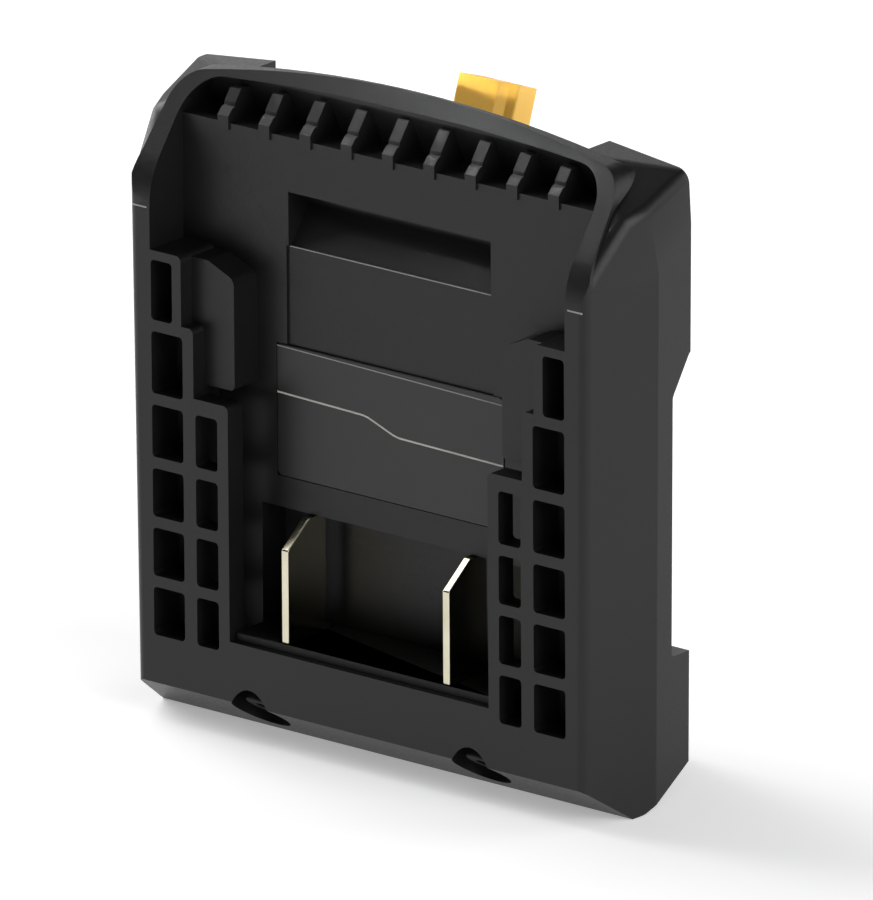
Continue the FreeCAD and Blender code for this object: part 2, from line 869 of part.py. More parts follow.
def shell_holes():
    """Screw holes of the front shell: six for the rear cover and two in the bottom chamfer."""
    holes = []
    for x, z in case_screw_places():
        holes.append(rod(vector(x, plate_front + overrun, z), vector(0, -1, 0), screw_bore_radius,
                         case_screw_length - cover_plate_thickness + overrun + screw_tip_room))
    for side in (-1, 1):
        floor = lip_recess_floor(side)
        holes.append(rod(floor, lip_axis() * -1, lip_recess_radius, far))
        holes.append(rod(floor, lip_axis(), screw_clear_radius, lip_screw_length))
    return holes


def make_front_shell():
    """The one-piece front moulding: rim, hood, ribs, rails, floor panel, lip and side walls."""
    outer = outer_body()
    shell = outer.cut(Part.makeCompound([bay_space(), hood_space()]))
    added = hood_ribs() + both_sides(right_rail()) + both_sides(right_guide())
    shell = shell.multiFuse(added).common(outer)
    removed = terminal_bay() + blade_slots() + floor_recesses() + [latch_pocket(), shell_cavity()]
    for pocket in right_pockets():
        removed += both_sides(pocket)
    for item in removed + shell_holes():
        shell = shell.cut(item)
    return shell.removeSplitter()


def make_label_plate():
    """A bare label plate in its seat on the floor panel."""
    back = floor_depth + label_thickness - label_proud
    outline = [
        (-label_half_width, label_bottom),
        (label_half_width, label_bottom),
        (label_half_width, label_top),
        (-label_half_width, label_top),
    ]
    return prism_y(outline, back - label_thickness, back, [label_corner_radius] * 4)


def make_terminal_block():
    """The insulating block behind the lip, slotted for both blades and screwed from below."""
    block = box(-rail_inner_low + block_gap, rail_inner_low - block_gap, lip_wall + block_gap,
                terminal_bay_depth - block_gap, block_bottom, block_bottom + block_height)
    half = blade_thickness / 2 + blade_slot_gap
    slot = box(blade_x - half, blade_x + half, blade_front - blade_slot_gap, terminal_bay_depth,
               blade_bottom - blade_slot_gap, block_bottom + block_height + overrun)
    for item in both_sides(slot):
        block = block.cut(item)
    for side in (-1, 1):
        block = block.cut(rod(lip_recess_floor(side), lip_axis(), screw_bore_radius,
                              lip_screw_length + overrun))
    return block


def make_terminal_blade(side):
    """A flat blade terminal with a bevelled leading corner and a tail through the bay's wall."""
    outline = [
        (blade_front, blade_bottom),
        (blade_tail_end, blade_bottom),
        (blade_tail_end, blade_bottom + blade_tail_height),
        (blade_back, blade_bottom + blade_tail_height),
        (blade_back, blade_top),
        (blade_front + blade_chamfer_depth, blade_top),
        (blade_front, blade_shoulder),
    ]
    x = side * blade_x
    radii = [0, 0, 0, 0, blade_back_radius, blade_tip_radius, blade_shoulder_radius]
    return prism_x(outline, x - blade_thickness / 2, x + blade_thickness / 2, radii)


def tilted(shape):
    """Moves a shape from the connector's own frame, mouth at the origin, to its tilted place."""
    place = FreeCAD.Placement(
        vector(0, connector_mouth_depth, connector_mouth_height),
        FreeCAD.Rotation(vector(1, 0, 0), -connector_tilt),
    )
    moved = shape.copy()
    moved.Placement = place.multiply(moved.Placement)
    return moved


def tilted_point(x, y, z):
    """A point of the connector's own frame, in the object's frame."""
    rotation = FreeCAD.Rotation(vector(1, 0, 0), -connector_tilt)
    return rotation.multVec(vector(x, y, z)) + vector(0, connector_mouth_depth, connector_mouth_height)


def connector_body(gap, low, high):
    """The keyed section of the connector, grown by a gap, between two heights of its own frame."""
    half_width = connector_width / 2 + gap
    half_depth = connector_thickness / 2 + gap
    step_x = half_width - connector_key_width - connector_key_step
    outline = [
        (-half_width, -half_depth),
        (step_x, -half_depth),
        (step_x + connector_key_step, -half_depth + connector_key_step),
        (half_width, -half_depth + connector_key_step),
        (half_width, half_depth),
        (-half_width, half_depth),
    ]
    edge = connector_edge_radius
    return prism_z(outline, low, high, [edge, 0, 0, connector_key_radius, edge, edge])


def contact_places():
    """Where both contacts stand across the connector's own frame."""
    return [-contact_spacing / 2, contact_spacing / 2]


def make_connector_housing():
    """The two-pole connector housing with a collar that bears against the roof from inside."""
    half_width = connector_width / 2 + collar_overhang
    half_depth = connector_thickness / 2 + collar_overhang
    collar_top = -roof_drop - roof_wall
    collar = box(-half_width, half_width, -half_depth, half_depth, collar_top - collar_height, collar_top)
    body = connector_body(0, -connector_length, 0).fuse(collar).removeSplitter()
    for x in contact_places():
        body = body.cut(rod(vector(x, 0, -connector_length - overrun), vector(0, 0, 1),
                            contact_radius + contact_gap, connector_length + 2 * overrun))
    return tilted(body)


def make_connector_contact(x):
    """A tubular contact with a solder tail under the connector."""
    length = connector_length + contact_tail - contact_recess
    contact = rod(vector(x, 0, -connector_length - contact_tail), vector(0, 0, 1), contact_radius, length)
    bore = rod(vector(x, 0, -connector_length), vector(0, 0, 1), contact_bore_radius, connector_length)
    return tilted(contact.cut(bore))


def clamp_screw_places():
    """Where the clamp's two screws stand across the connector's own frame."""
    return [-clamp_screw_x, clamp_screw_x]


def make_connector_clamp():
    """The plate that holds the connector's collar up against the roof."""
    top = -roof_drop - roof_wall - collar_height
    outline = [
        (-clamp_half_width, -clamp_half_depth),
        (clamp_half_width, -clamp_half_depth),
        (clamp_half_width, clamp_half_depth),
        (-clamp_half_width, clamp_half_depth),
    ]
    clamp = prism_z(outline, top - clamp_height, top, [clamp_corner_radius] * 4)
    low = top - clamp_height - overrun
    clamp = clamp.cut(connector_body(connector_gap, low, top + overrun))
    for x in clamp_screw_places():
        clamp = clamp.cut(rod(vector(x, 0, low), vector(0, 0, 1), screw_clear_radius,
                              clamp_height + 2 * overrun))
    return tilted(clamp)


def roof_space(drop):
    """Everything below the slanted roof plane at a drop under the connector's mouth."""
    return tilted(box(-far / 2, far / 2, -far / 2, far / 2, -drop - far, -drop))


def board_post_places():
    """Where the circuit board's posts stand, as (x, z)."""
    x = board_half_width - board_post_inset
    return [(side * x, z) for side in (-1, 1) for z in (board_bottom + board_post_inset,
                                                        board_top - board_post_inset)]


def cover_plate():
    """The flat plate that closes the shell's back."""
    half = cavity_half_width - cover_gap
    low = cavity_bottom + cover_gap
    high = cavity_top - cover_gap
    outline = [(-half, low), (half, low), (half, high), (-half, high)]
    return prism_y(outline, plate_front, shell_depth, [cover_corner_radius] * 4)


def housing_outer():
    """The raised housing's outer form, under its slanted roof."""
    outline = [
        (-housing_half_width, shell_depth),
        (housing_half_width, shell_depth),
        (housing_half_width, housing_back),
        (-housing_half_width, housing_back),
    ]
    block = prism_z(outline, 0, connector_mouth_height, [0, 0, housing_corner_radius, housing_corner_radius])
    return block.common(roof_space(roof_drop))


def housing_hollow():
    """The hollow of the raised housing, open through the plate towards the shell."""
    half = housing_half_width - housing_wall
    behind = box(-half, half, shell_depth + housing_wall, housing_inner_back, housing_wall,
                 connector_mouth_height)
    opening = box(-half, half, 0, housing_inner_back, housing_opening_bottom, housing_opening_top)
    return behind.fuse(opening).common(roof_space(roof_drop + roof_wall)).removeSplitter()


def make_rear_cover():
    """The rear cover: plate, raised housing, slanted roof, board posts and clamp bosses."""
    cover = cover_plate().fuse(housing_outer()).cut(housing_hollow())
    for x, z in board_post_places():
        cover = cover.fuse(rod(vector(x, board_back, z), vector(0, 1, 0), board_post_radius,
                               housing_inner_back - board_back + sink))
    boss_low = -roof_drop - roof_wall - collar_height
    for x in clamp_screw_places():
        cover = cover.fuse(tilted(rod(vector(x, 0, boss_low), vector(0, 0, 1), clamp_boss_radius,
                                      collar_height + sink)))
    cover = cover.removeSplitter()
    cover = cover.cut(tilted(connector_body(connector_gap, -roof_drop - roof_wall - overrun, overrun)))
    for x in clamp_screw_places():
        cover = cover.cut(tilted(rod(vector(x, 0, boss_low - overrun), vector(0, 0, 1), screw_bore_radius,
                                     clamp_screw_length - clamp_height + overrun + screw_tip_room)))
    for x, z in board_post_places():
        cover = cover.cut(rod(vector(x, board_back - overrun, z), vector(0, 1, 0), screw_bore_radius,
                              board_screw_length - board_thickness + overrun + screw_tip_room))
    for x, z in case_screw_places():
        cover = cover.cut(rod(vector(x, 0, z), vector(0, 1, 0), screw_clear_radius,
                              shell_depth + overrun))
        cover = cover.cut(countersink(vector(x, shell_depth, z), vector(0, -1, 0), countersink_gap))
    return cover


def countersink(surface, inward, gap):
    """The cone of a countersunk head, grown by a gap, from the surface inwards."""
    return Part.makeCone(screw_head_radius + gap, screw_shank_radius + gap, screw_cone_height,
                         surface, inward)


def socket(top, inward):
    """The six-sided drive socket in a screw's head."""
    points = []
    for index in range(6):
        angle = math.radians(60 * index)
        points.append(vector(screw_socket_radius * math.cos(angle), screw_socket_radius * math.sin(angle), 0))
    depth = screw_socket_depth + overrun
    prism = Part.Face(Part.makePolygon(points + [points[0]])).extrude(vector(0, 0, depth))
    start = top - inward * overrun
    prism.Placement = FreeCAD.Placement(start, FreeCAD.Rotation(vector(0, 0, 1), inward))
    return prism


def pan_screw(seat, inward, length):
    """A pan-head screw whose head stands on a seat and whose shank goes inwards."""
    head = rod(seat, inward * -1, screw_head_radius, screw_head_height)
    shank = rod(seat, inward, screw_shank_radius, length)
    return head.fuse(shank).removeSplitter().cut(socket(seat - inward * screw_head_height, inward))


def flush_screw(surface, inward, length):
    """A countersunk screw whose head lies flush with a surface."""
    shank = rod(surface, inward, screw_shank_radius, length)
    return countersink(surface, inward, 0).fuse(shank).removeSplitter().cut(socket(surface, inward))


def make_case_screws():
    """Six countersunk screws through the rear cover's plate."""
    return Part.makeCompound([
        flush_screw(vector(x, shell_depth, z), vector(0, -1, 0), case_screw_length)
        for x, z in case_screw_places()
    ])


def make_lip_screws():
    """Two screws in the recesses of the bottom chamfer, into the terminal block."""
    return Part.makeCompound([
        pan_screw(lip_recess_floor(side), lip_axis(), lip_screw_length - lip_screw_tip_room)
        for side in (-1, 1)
    ])


def make_clamp_screws():
    """Two screws that pull the connector's clamp up against the roof's bosses."""
    seat = -roof_drop - roof_wall - collar_height - clamp_height
    return Part.makeCompound([
        tilted(pan_screw(vector(x, 0, seat), vector(0, 0, 1), clamp_screw_length))
        for x in clamp_screw_places()
    ])


def make_board_screws():
    """Four screws that hold the circuit board on its posts."""
    return Part.makeCompound([
        pan_screw(vector(x, board_front, z), vector(0, 1, 0), board_screw_length)
        for x, z in board_post_places()
    ])


def make_circuit_board():
    """The circuit board on the rear cover's posts."""
    outline = [
        (-board_half_width, board_bottom),
        (board_half_width, board_bottom),
        (board_half_width, board_top),
        (-board_half_width, board_top),
    ]
    board = prism_y(outline, board_front, board_back, [board_corner_radius] * 4)
    for x, z in board_post_places():
        board = board.cut(rod(vector(x, board_front - overrun, z), vector(0, 1, 0), screw_clear_radius,
                              board_thickness + 2 * overrun))
    return board


def board_part(x, rise, width, height, thickness):
    """A low block seated on the board's front, at a height over the board's lower edge."""
    z = board_bottom + rise
    return box(x - width / 2, x + width / 2, board_front - thickness, board_front,
               z - height / 2, z + height / 2)


def make_power_switches():
    """Two power transistors side by side on the board."""
    return Part.makeCompound([
        board_part(switch_x + offset, switch_rise, switch_width, switch_height, switch_thickness)
        for offset in (-switch_spacing / 2, switch_spacing / 2)
    ])


def make_controller_chip():
    """The protection controller on the board."""
    return board_part(chip_x, chip_rise, chip_width, chip_height, chip_thickness)


def make_main_fuse():
    """The fuse in the supply line."""
    return board_part(fuse_x, fuse_rise, fuse_length, fuse_height, fuse_thickness)


def make_shunt_resistor():
    """The current-sensing resistor."""
    return board_part(shunt_x, shunt_rise, shunt_width, shunt_height, shunt_thickness)


def make_filter_capacitor():
    """A round capacitor lying on the board."""
    foot = vector(capacitor_x, board_front - capacitor_radius, board_bottom + capacitor_rise)
    return rod(foot, vector(0, 0, 1), capacitor_radius, capacitor_length)


def lead(name, points):
    """A round lead along straight runs joined by tangent arcs."""
    edges = []
    start = points[0]
    radii = []
    for index in range(1, len(points) - 1):
        before, corner, after = points[index - 1], points[index], points[index + 1]
        turn = (corner - before).getAngle(after - corner)
        shorter = min((corner - before).Length, (after - corner).Length)
        radius = lead_bend_share * shorter / math.tan(turn / 2)
        arc_start, arc_end, arc = corner_arc(before, corner, after, radius)
        edges.append(Part.LineSegment(start, arc_start).toShape())
        edges.append(arc)
        radii.append(round(radius, 1))
        start = arc_end
    edges.append(Part.LineSegment(start, points[-1]).toShape())
    path = Part.Wire(edges)
    length = path.Length
    direction = (points[1] - points[0]).normalize()
    section = Part.Wire(Part.makeCircle(lead_radius, points[0], direction))
    tube = path.makePipeShell([section], True, False)
    share = tube.Volume / (math.pi * lead_radius ** 2 * length)
    print(name, "length", round(length, 1), "radii", radii, "volume share", round(share, 4))
    return tube


def battery_lead_points(side):
    """Route of a lead from a blade's tail up to its pad on the board."""
    tail_height = blade_bottom + blade_tail_height / 2
    on_board = board_front - lead_radius
    return [
        vector(side * blade_x, blade_tail_end, tail_height),
        vector(side * battery_lead_low_x, battery_lead_low_depth, tail_height + battery_lead_step),
        vector(side * (battery_lead_low_x - lead_draw_in), on_board - battery_lead_slack,
               battery_lead_rise),
        vector(side * battery_pad_x, on_board - lead_lift, board_bottom),
        vector(side * battery_pad_x, on_board, board_bottom + battery_pad_rise),
    ]


def output_lead_points(side):
    """Route of a lead from its pad on the board up to a contact's tail."""
    tail = tilted_point(side * contact_spacing / 2, 0, -connector_length - contact_tail)
    below = tilted_point(side * contact_spacing / 2, 0, -connector_length - contact_tail - lead_straight)
    on_board = board_front - lead_radius
    pad_height = board_top - output_pad_drop
    return [
        tail,
        below,
        vector(side * (output_pad_x - lead_draw_in), on_board - output_lead_slack,
               pad_height + output_lead_rise),
        vector(side * output_pad_x, on_board, pad_height),
    ]


def make_lead_sleeves():
    """Shrink sleeves over the soldered ends at both contacts."""
    sleeves = []
    low = -connector_length - contact_tail + sleeve_start
    length = contact_tail - sleeve_start - sleeve_end_gap
    for x in contact_places():
        sleeve = rod(vector(x, 0, low), vector(0, 0, 1), contact_radius + sleeve_gap + sleeve_wall, length)
        bore = rod(vector(x, 0, low - overrun), vector(0, 0, 1), contact_radius + sleeve_gap,
                   length + 2 * overrun)
        sleeves.append(tilted(sleeve.cut(bore)))
    return Part.makeCompound(sleeves)


def all_parts():
    """Every sub-part by name."""
    left, right = contact_places()
    return {
        "front_shell": make_front_shell(),
        "rear_cover": make_rear_cover(),
        "label_plate": make_label_plate(),
        "terminal_block": make_terminal_block(),
        "terminal_blade_positive": make_terminal_blade(1),
        "terminal_blade_negative": make_terminal_blade(-1),
        "connector_housing": make_connector_housing(),
        "connector_contact_positive": make_connector_contact(right),
        "connector_contact_negative": make_connector_contact(left),
        "connector_clamp": make_connector_clamp(),
        "circuit_board": make_circuit_board(),
        "power_switches": make_power_switches(),
        "controller_chip": make_controller_chip(),
        "filter_capacitor": make_filter_capacitor(),
        "main_fuse": make_main_fuse(),
        "shunt_resistor": make_shunt_resistor(),
        "battery_lead_positive": lead("battery_lead_positive", battery_lead_points(1)),
        "battery_lead_negative": lead("battery_lead_negative", battery_lead_points(-1)),
        "output_lead_positive": lead("output_lead_positive", output_lead_points(1)),
        "output_lead_negative": lead("output_lead_negative", output_lead_points(-1)),
        "lead_sleeves": make_lead_sleeves(),
        "case_screws": make_case_screws(),
        "lip_screws": make_lip_screws(),
        "clamp_screws": make_clamp_screws(),
        "board_screws": make_board_screws(),
    }


def main():
    """Builds every sub-part, centres the whole from front to back and writes one file for each."""
    os.makedirs("parts", exist_ok=True)
    for name, shape in all_parts().items():
        shape.translate(vector(0, -overall_depth / 2, 0))
        valid = shape.isValid()
        print(name, "solids", len(shape.Solids), "volume", round(shape.Volume, 1), "valid", valid)
        shape.exportStep(os.path.join("parts", name + ".step"))


main()
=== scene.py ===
"""Looks of the slide-on battery adapter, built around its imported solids.

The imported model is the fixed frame: every object here is in metres in the same frame, with X to
the right, Y from the front to the back and Z up, and the origin under the middle of the object.
Sizes in the classes are in millimetres, and depths count from the front mating face.
"""

from __future__ import annotations

import logging
from dataclasses import dataclass
from enum import Enum
from functools import cached_property, partial
from math import atan2, cos, pi, radians, sin

import bmesh
import bpy
from bpy.types import Material, Mesh, Node, NodeSocket, NodeTree, Object
from mathutils import Matrix, Vector

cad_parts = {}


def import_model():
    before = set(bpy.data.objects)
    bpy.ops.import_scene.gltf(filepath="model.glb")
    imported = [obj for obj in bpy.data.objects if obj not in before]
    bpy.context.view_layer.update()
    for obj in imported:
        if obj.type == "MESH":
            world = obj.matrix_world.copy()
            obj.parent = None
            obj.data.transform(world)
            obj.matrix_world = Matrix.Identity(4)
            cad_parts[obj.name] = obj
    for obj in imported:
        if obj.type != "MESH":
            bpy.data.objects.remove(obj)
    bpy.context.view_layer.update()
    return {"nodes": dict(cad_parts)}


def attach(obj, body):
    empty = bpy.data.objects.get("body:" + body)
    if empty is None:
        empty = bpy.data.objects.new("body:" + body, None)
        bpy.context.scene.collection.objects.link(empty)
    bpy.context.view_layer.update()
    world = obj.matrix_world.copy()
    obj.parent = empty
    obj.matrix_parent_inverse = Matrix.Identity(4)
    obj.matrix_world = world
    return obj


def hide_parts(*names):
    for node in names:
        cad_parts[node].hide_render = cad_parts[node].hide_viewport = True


LOG = logging.getLogger("battery_adapter")
MM = 0.001
BODY = "root"
HALF_DEPTH_MM = 17.0
FORWARD = Vector((0.0, -1.0, 0.0))
BACKWARD = Vector((0.0, 1.0, 0.0))
UPWARD = Vector((0.0, 0.0, 1.0))
LEFT_AND_RIGHT = (-1, 1)

Colour = tuple[float, float, float, float]
Nodes = dict[str, Object]
Values = dict[str | int, object]
Ring = list[Vector]
Point = tuple[float, float, float]
Boxes = tuple[tuple[Point, Point], ...]
Sides = tuple[float, float, float, float]
Profile = tuple[tuple[float, float], ...]


def linear(hex_code: str) -> Colour:
    """Turns an sRGB hex colour into a linear one.

    Args:
        hex_code: Six hex digits, with or without a leading hash sign.

    Returns:
        Linear red, green, blue and an alpha of one.
    """
    digits = hex_code.lstrip("#")
    channels = []
    for start in (0, 2, 4):
        value = int(digits[start:start + 2], 16) / 255
        channels.append(value / 12.92 if value <= 0.04045 else ((value + 0.055) / 1.055) ** 2.4)
    return (channels[0], channels[1], channels[2], 1.0)


def add_node(tree: NodeTree, kind: str, settings: Values | None = None,
             inputs: Values | None = None) -> Node:
    """Adds one node with its settings, values and links.

    Args:
        tree: The node tree that gets the node.
        kind: The node's type name.
        settings: Properties of the node itself.
        inputs: For each named or numbered input a value, a socket to link from, or a node whose
            first output is linked.

    Returns:
        The new node.
    """
    node = tree.nodes.new(kind)
    for name, value in (settings or {}).items():
        setattr(node, name, value)
    for key, value in (inputs or {}).items():
        if isinstance(value, Node):
            value = value.outputs[0]
        if isinstance(value, NodeSocket):
            tree.links.new(value, node.inputs[key])
        else:
            node.inputs[key].default_value = value
    return node


def per_metre(size_mm: float) -> float:
    """Pattern scale on Object coordinates that gives features of one size in millimetres."""
    return 1.0 / (size_mm * MM)


def place(x_mm: float, depth_mm: float, z_mm: float) -> Vector:
    """A point given in millimetres from the front mating face, in the object's frame."""
    return Vector((x_mm, depth_mm - HALF_DEPTH_MM, z_mm)) * MM


# Finishes


@dataclass(frozen=True)
class Finish:
    """A procedural surface of one real material, with its lengths in millimetres.

    Attributes:
        name: The material's common name and how its surface was made.
        slot: The record's material slot.
        colour: Main colour as sRGB hex.
        second: Colour that the mottling drifts to.
        mottle: Size of the colour drift.
        rough: Mean roughness.
        grain: Size of the surface grain.
        depth: Height of the surface grain.
        share: How much of the second colour the drift reaches.
        swing: How far the roughness varies around its mean.
        ior: Index of refraction of a plastic, lacquer or ceramic.
        metallic: One for a bare metal.
        stretch: How the grain is drawn out along X, Y and Z.
        glow: Light that the surface gives off, as a lit table does.
    """

    name: str
    slot: str
    colour: str
    second: str
    mottle: float
    rough: float
    grain: float
    depth: float
    share: float = 0.5
    swing: float = 0.06
    ior: float = 1.5
    metallic: float = 0.0
    stretch: Point = (1.0, 1.0, 1.0)
    glow: float = 0.0

    def colour_socket(self, tree: NodeTree, coordinates: NodeSocket) -> NodeSocket:
        """Builds the colour pattern.

        Args:
            tree: The material's node tree.
            coordinates: Object coordinates.

        Returns:
            The colour socket.
        """
        drift = add_node(tree, "ShaderNodeTexNoise", {"noise_dimensions": "3D"},
                         {"Vector": coordinates, "Scale": per_metre(self.mottle), "Detail": 4.0,
                          "Roughness": 0.6})
        ramp = add_node(tree, "ShaderNodeValToRGB", None, {"Fac": drift})
        first, last = linear(self.colour), linear(self.second)
        start, end = ramp.color_ramp.elements
        start.position, end.position = 0.35, 0.7
        start.color = first
        end.color = [a + (b - a) * self.share for a, b in zip(first, last)]
        return ramp.outputs["Color"]

    def grain_socket(self, tree: NodeTree, coordinates: NodeSocket) -> NodeSocket:
        """Builds the height of the surface grain.

        Args:
            tree: The material's node tree.
            coordinates: Object coordinates.

        Returns:
            A height socket between zero and one.
        """
        mapping = add_node(tree, "ShaderNodeMapping", None,
                           {"Vector": coordinates, "Scale": self.stretch})
        grain = add_node(tree, "ShaderNodeTexNoise", {"noise_dimensions": "3D"},
                         {"Vector": mapping, "Scale": per_metre(self.grain), "Detail": 3.0,
                          "Roughness": 0.55})
        return grain.outputs["Fac"]

    @cached_property
    def material(self) -> Material:
        """Builds the whole material, once.

        Returns:
            The finished material.
        """
        result = bpy.data.materials.new(self.name)
        result.use_nodes = True
        tree = result.node_tree
        tree.nodes.clear()
        coordinates = add_node(tree, "ShaderNodeTexCoord").outputs["Object"]
        height = self.grain_socket(tree, coordinates)
        rough = add_node(tree, "ShaderNodeMapRange", None,
                         {"Value": height, "From Min": 0.25, "From Max": 0.75,
                          "To Min": self.rough - self.swing, "To Max": self.rough + self.swing})
        bump = add_node(tree, "ShaderNodeBump", None,
                        {"Height": height, "Distance": self.depth * MM, "Strength": 1.0})
        shader = add_node(tree, "ShaderNodeBsdfPrincipled", None,
                          {"Base Color": self.colour_socket(tree, coordinates),
                           "Roughness": rough, "Normal": bump, "Metallic": self.metallic,
                           "Emission Strength": self.glow})
        if self.metallic == 0.0:
            shader.inputs["IOR"].default_value = self.ior
        if self.glow > 0.0:
            shader.inputs["Emission Color"].default_value = (1.0, 1.0, 1.0, 1.0)
        add_node(tree, "ShaderNodeOutputMaterial", None, {"Surface": shader})
        return result


@dataclass(frozen=True)
class BoardLaminate(Finish):
    """Solder mask over copper tracks: darker green, with lighter lines where copper lies under it.

    Attributes:
        tracks: Distance over two rows of tracks.
        track_colour: Colour of the mask over copper.
    """

    tracks: float = 8.8
    track_colour: str = "#3f7f4f"

    def colour_socket(self, tree: NodeTree, coordinates: NodeSocket) -> NodeSocket:
        """Adds square tracks to the mask's colour.

        Args:
            tree: The material's node tree.
            coordinates: Object coordinates.

        Returns:
            The colour socket.
        """
        ground = super().colour_socket(tree, coordinates)
        turned = add_node(tree, "ShaderNodeMapping", None,
                          {"Vector": coordinates, "Rotation": (radians(90), 0.0, 0.0)})
        tracks = add_node(tree, "ShaderNodeTexBrick", {"offset": 0.37, "squash": 1.6},
                          {"Vector": turned, "Scale": per_metre(self.tracks), "Mortar Size": 0.03,
                           "Mortar Smooth": 0.1, "Brick Width": 1.1, "Row Height": 0.5})
        mixed = add_node(tree, "ShaderNodeMix", {"data_type": "RGBA"},
                         {"Factor": tracks.outputs["Fac"], 6: ground, 7: linear(self.track_colour)})
        return mixed.outputs[2]


class Finishes:
    """Every finish of the object.

    A pixel of the render is about 0.14 mm wide. The grain left by a mould, a punch, plating or ink
    is finer, at 0.02 to 0.15 mm, so each grain here is drawn as coarse as it needs to be to show.
    """

    # Moulded ABS: nearly black and satin, with the fine even grain of a spark-eroded mould.
    # That grain is about 0.1 mm, and is drawn as 0.5 mm.
    abs_black = Finish("moulded_abs_black", "black_abs", "#121213", "#1a1919", mottle=22.0,
                       rough=0.4, grain=0.5, depth=0.01, ior=1.41)
    # The same plastic painted pale along a mould seam and along the pocket's lower edge: a painted
    # highlight.
    abs_rubbed = Finish("rubbed_abs_edge", "black_abs", "#a3a3a2", "#7b7b7c", mottle=2.0,
                        rough=0.5, grain=0.3, depth=0.004)
    # Polyester label film: smoother and a little lighter than the moulding, with a soft sheen.
    label_film = Finish("polyester_label_film", "label_film", "#1b1b1b", "#222120", mottle=14.0,
                        rough=0.36, grain=0.3, depth=0.003, ior=1.48)
    # Screen-printed ink: a dry warm white that lies on the film.
    ink = Finish("screen_printed_white_ink", "label_film", "#b9b7b2", "#d2d0ca", mottle=3.0,
                 rough=0.6, grain=0.25, depth=0.002)
    # A pale hairline along the film's upper edge: a painted highlight.
    film_core = Finish("cut_polyester_edge", "label_film", "#9b9a96", "#83827f", mottle=3.0,
                       rough=0.55, grain=0.25, depth=0.002)
    # Glass-filled nylon: darker than the ABS, partly as painted shade that makes the terminal
    # block's face above the lip read as a shadowed band, with short streaks of fibre at the
    # surface.
    # The fibres are 0.01 mm thick, and are drawn as bundles of 0.6 mm.
    nylon_black = Finish("glass_filled_nylon_black", "black_nylon", "#0c0c0c", "#141414",
                         mottle=5.0, rough=0.54, grain=0.6, depth=0.008, ior=1.42,
                         stretch=(1.0, 1.0, 0.3))
    # Nickel-plated copper: bright and warm, with fine punching marks along the blade.
    nickel = Finish("nickel_plated_copper", "nickel_plate", "#ddd8c2", "#bdb596", mottle=6.0,
                    rough=0.17, swing=0.05, grain=0.5, depth=0.0015, metallic=1.0,
                    stretch=(6.0, 6.0, 0.5))
    # Moulded nylon in signal yellow: glossy, a touch deeper where it is thick.
    nylon_yellow = Finish("moulded_nylon_yellow", "yellow_nylon", "#fbc34d", "#fdcc62",
                          mottle=7.0, rough=0.42, grain=0.8, depth=0.004, ior=1.53)
    # Gold-flashed brass: warm, turned, with rings that catch the light.
    brass = Finish("gold_flashed_brass", "gold_brass", "#e3bd62", "#cda24a", mottle=2.0,
                   rough=0.24, grain=0.3, depth=0.002, metallic=1.0, stretch=(0.3, 0.3, 3.0))
    # Glass laminate under a green solder mask.
    board = BoardLaminate("glass_epoxy_laminate", "board_laminate", "#0f3d22", "#16502d",
                          mottle=9.0, rough=0.34, grain=0.7, depth=0.003, ior=1.55)
    # Moulded epoxy: the dull black body of a component.
    epoxy = Finish("moulded_epoxy", "black_epoxy", "#141414", "#1e1e1d", mottle=2.5, rough=0.6,
                   grain=0.25, depth=0.006)
    # Shrunk PVC sleeve on an aluminium can: dark blue with a soft gloss.
    can_sleeve = Finish("pvc_can_sleeve", "capacitor_can", "#1d2238", "#272d47", mottle=4.0,
                        rough=0.3, grain=0.8, depth=0.003)
    # Glazed ceramic: the smooth off-white body of the fuse.
    ceramic = Finish("glazed_ceramic", "fuse_ceramic", "#ddd9cd", "#cfcabb", mottle=3.0,
                     rough=0.25, grain=0.5, depth=0.003, ior=1.6)
    # Silicone insulation: soft and matt, with a faint lay of dust.
    silicone_red = Finish("silicone_insulation_red", "red_silicone", "#a11d17", "#b83a30",
                          mottle=5.0, rough=0.62, grain=0.4, depth=0.006, ior=1.43)
    silicone_black = Finish("silicone_insulation_black", "black_silicone", "#161616", "#242424",
                            mottle=5.0, rough=0.62, grain=0.4, depth=0.006, ior=1.43)
    # Shrunk polyolefin: smooth, black and slightly wavy.
    shrink_sleeve = Finish("polyolefin_shrink_sleeve", "black_sleeve", "#101010", "#1c1c1c",
                           mottle=3.0, rough=0.45, grain=0.9, depth=0.01)
    # Zinc-plated steel: pale grey metal with a fine drawn grain.
    zinc = Finish("zinc_plated_steel", "zinc_steel", "#b4b5b2", "#9b9c98", mottle=1.5, rough=0.36,
                  grain=0.3, depth=0.003, metallic=1.0)
    # Blackened steel: dark oxide that still shines like a metal.
    black_oxide = Finish("black_oxide_steel", "black_steel", "#0e0e0f", "#161616", mottle=1.5,
                         rough=0.62, grain=0.3, depth=0.003, metallic=0.7)
    # Tin solder: bright grey and slightly dimpled.
    solder = Finish("tin_solder", "zinc_steel", "#c9c9c6", "#b0b0ac", mottle=1.0, rough=0.28,
                    grain=0.5, depth=0.01, metallic=1.0)


# Pieces and meshes


def new_piece(name: str, mesh: Mesh, finish: Finish) -> Object:
    """Makes an object at the origin from a finished mesh.

    Args:
        name: Name of the piece.
        mesh: Its mesh, in the object's frame.
        finish: Its only finish.

    Returns:
        The new object.
    """
    mesh.name = name
    mesh.materials.clear()
    mesh.materials.append(finish.material)
    piece = bpy.data.objects.new(name, mesh)
    bpy.context.scene.collection.objects.link(piece)
    return piece


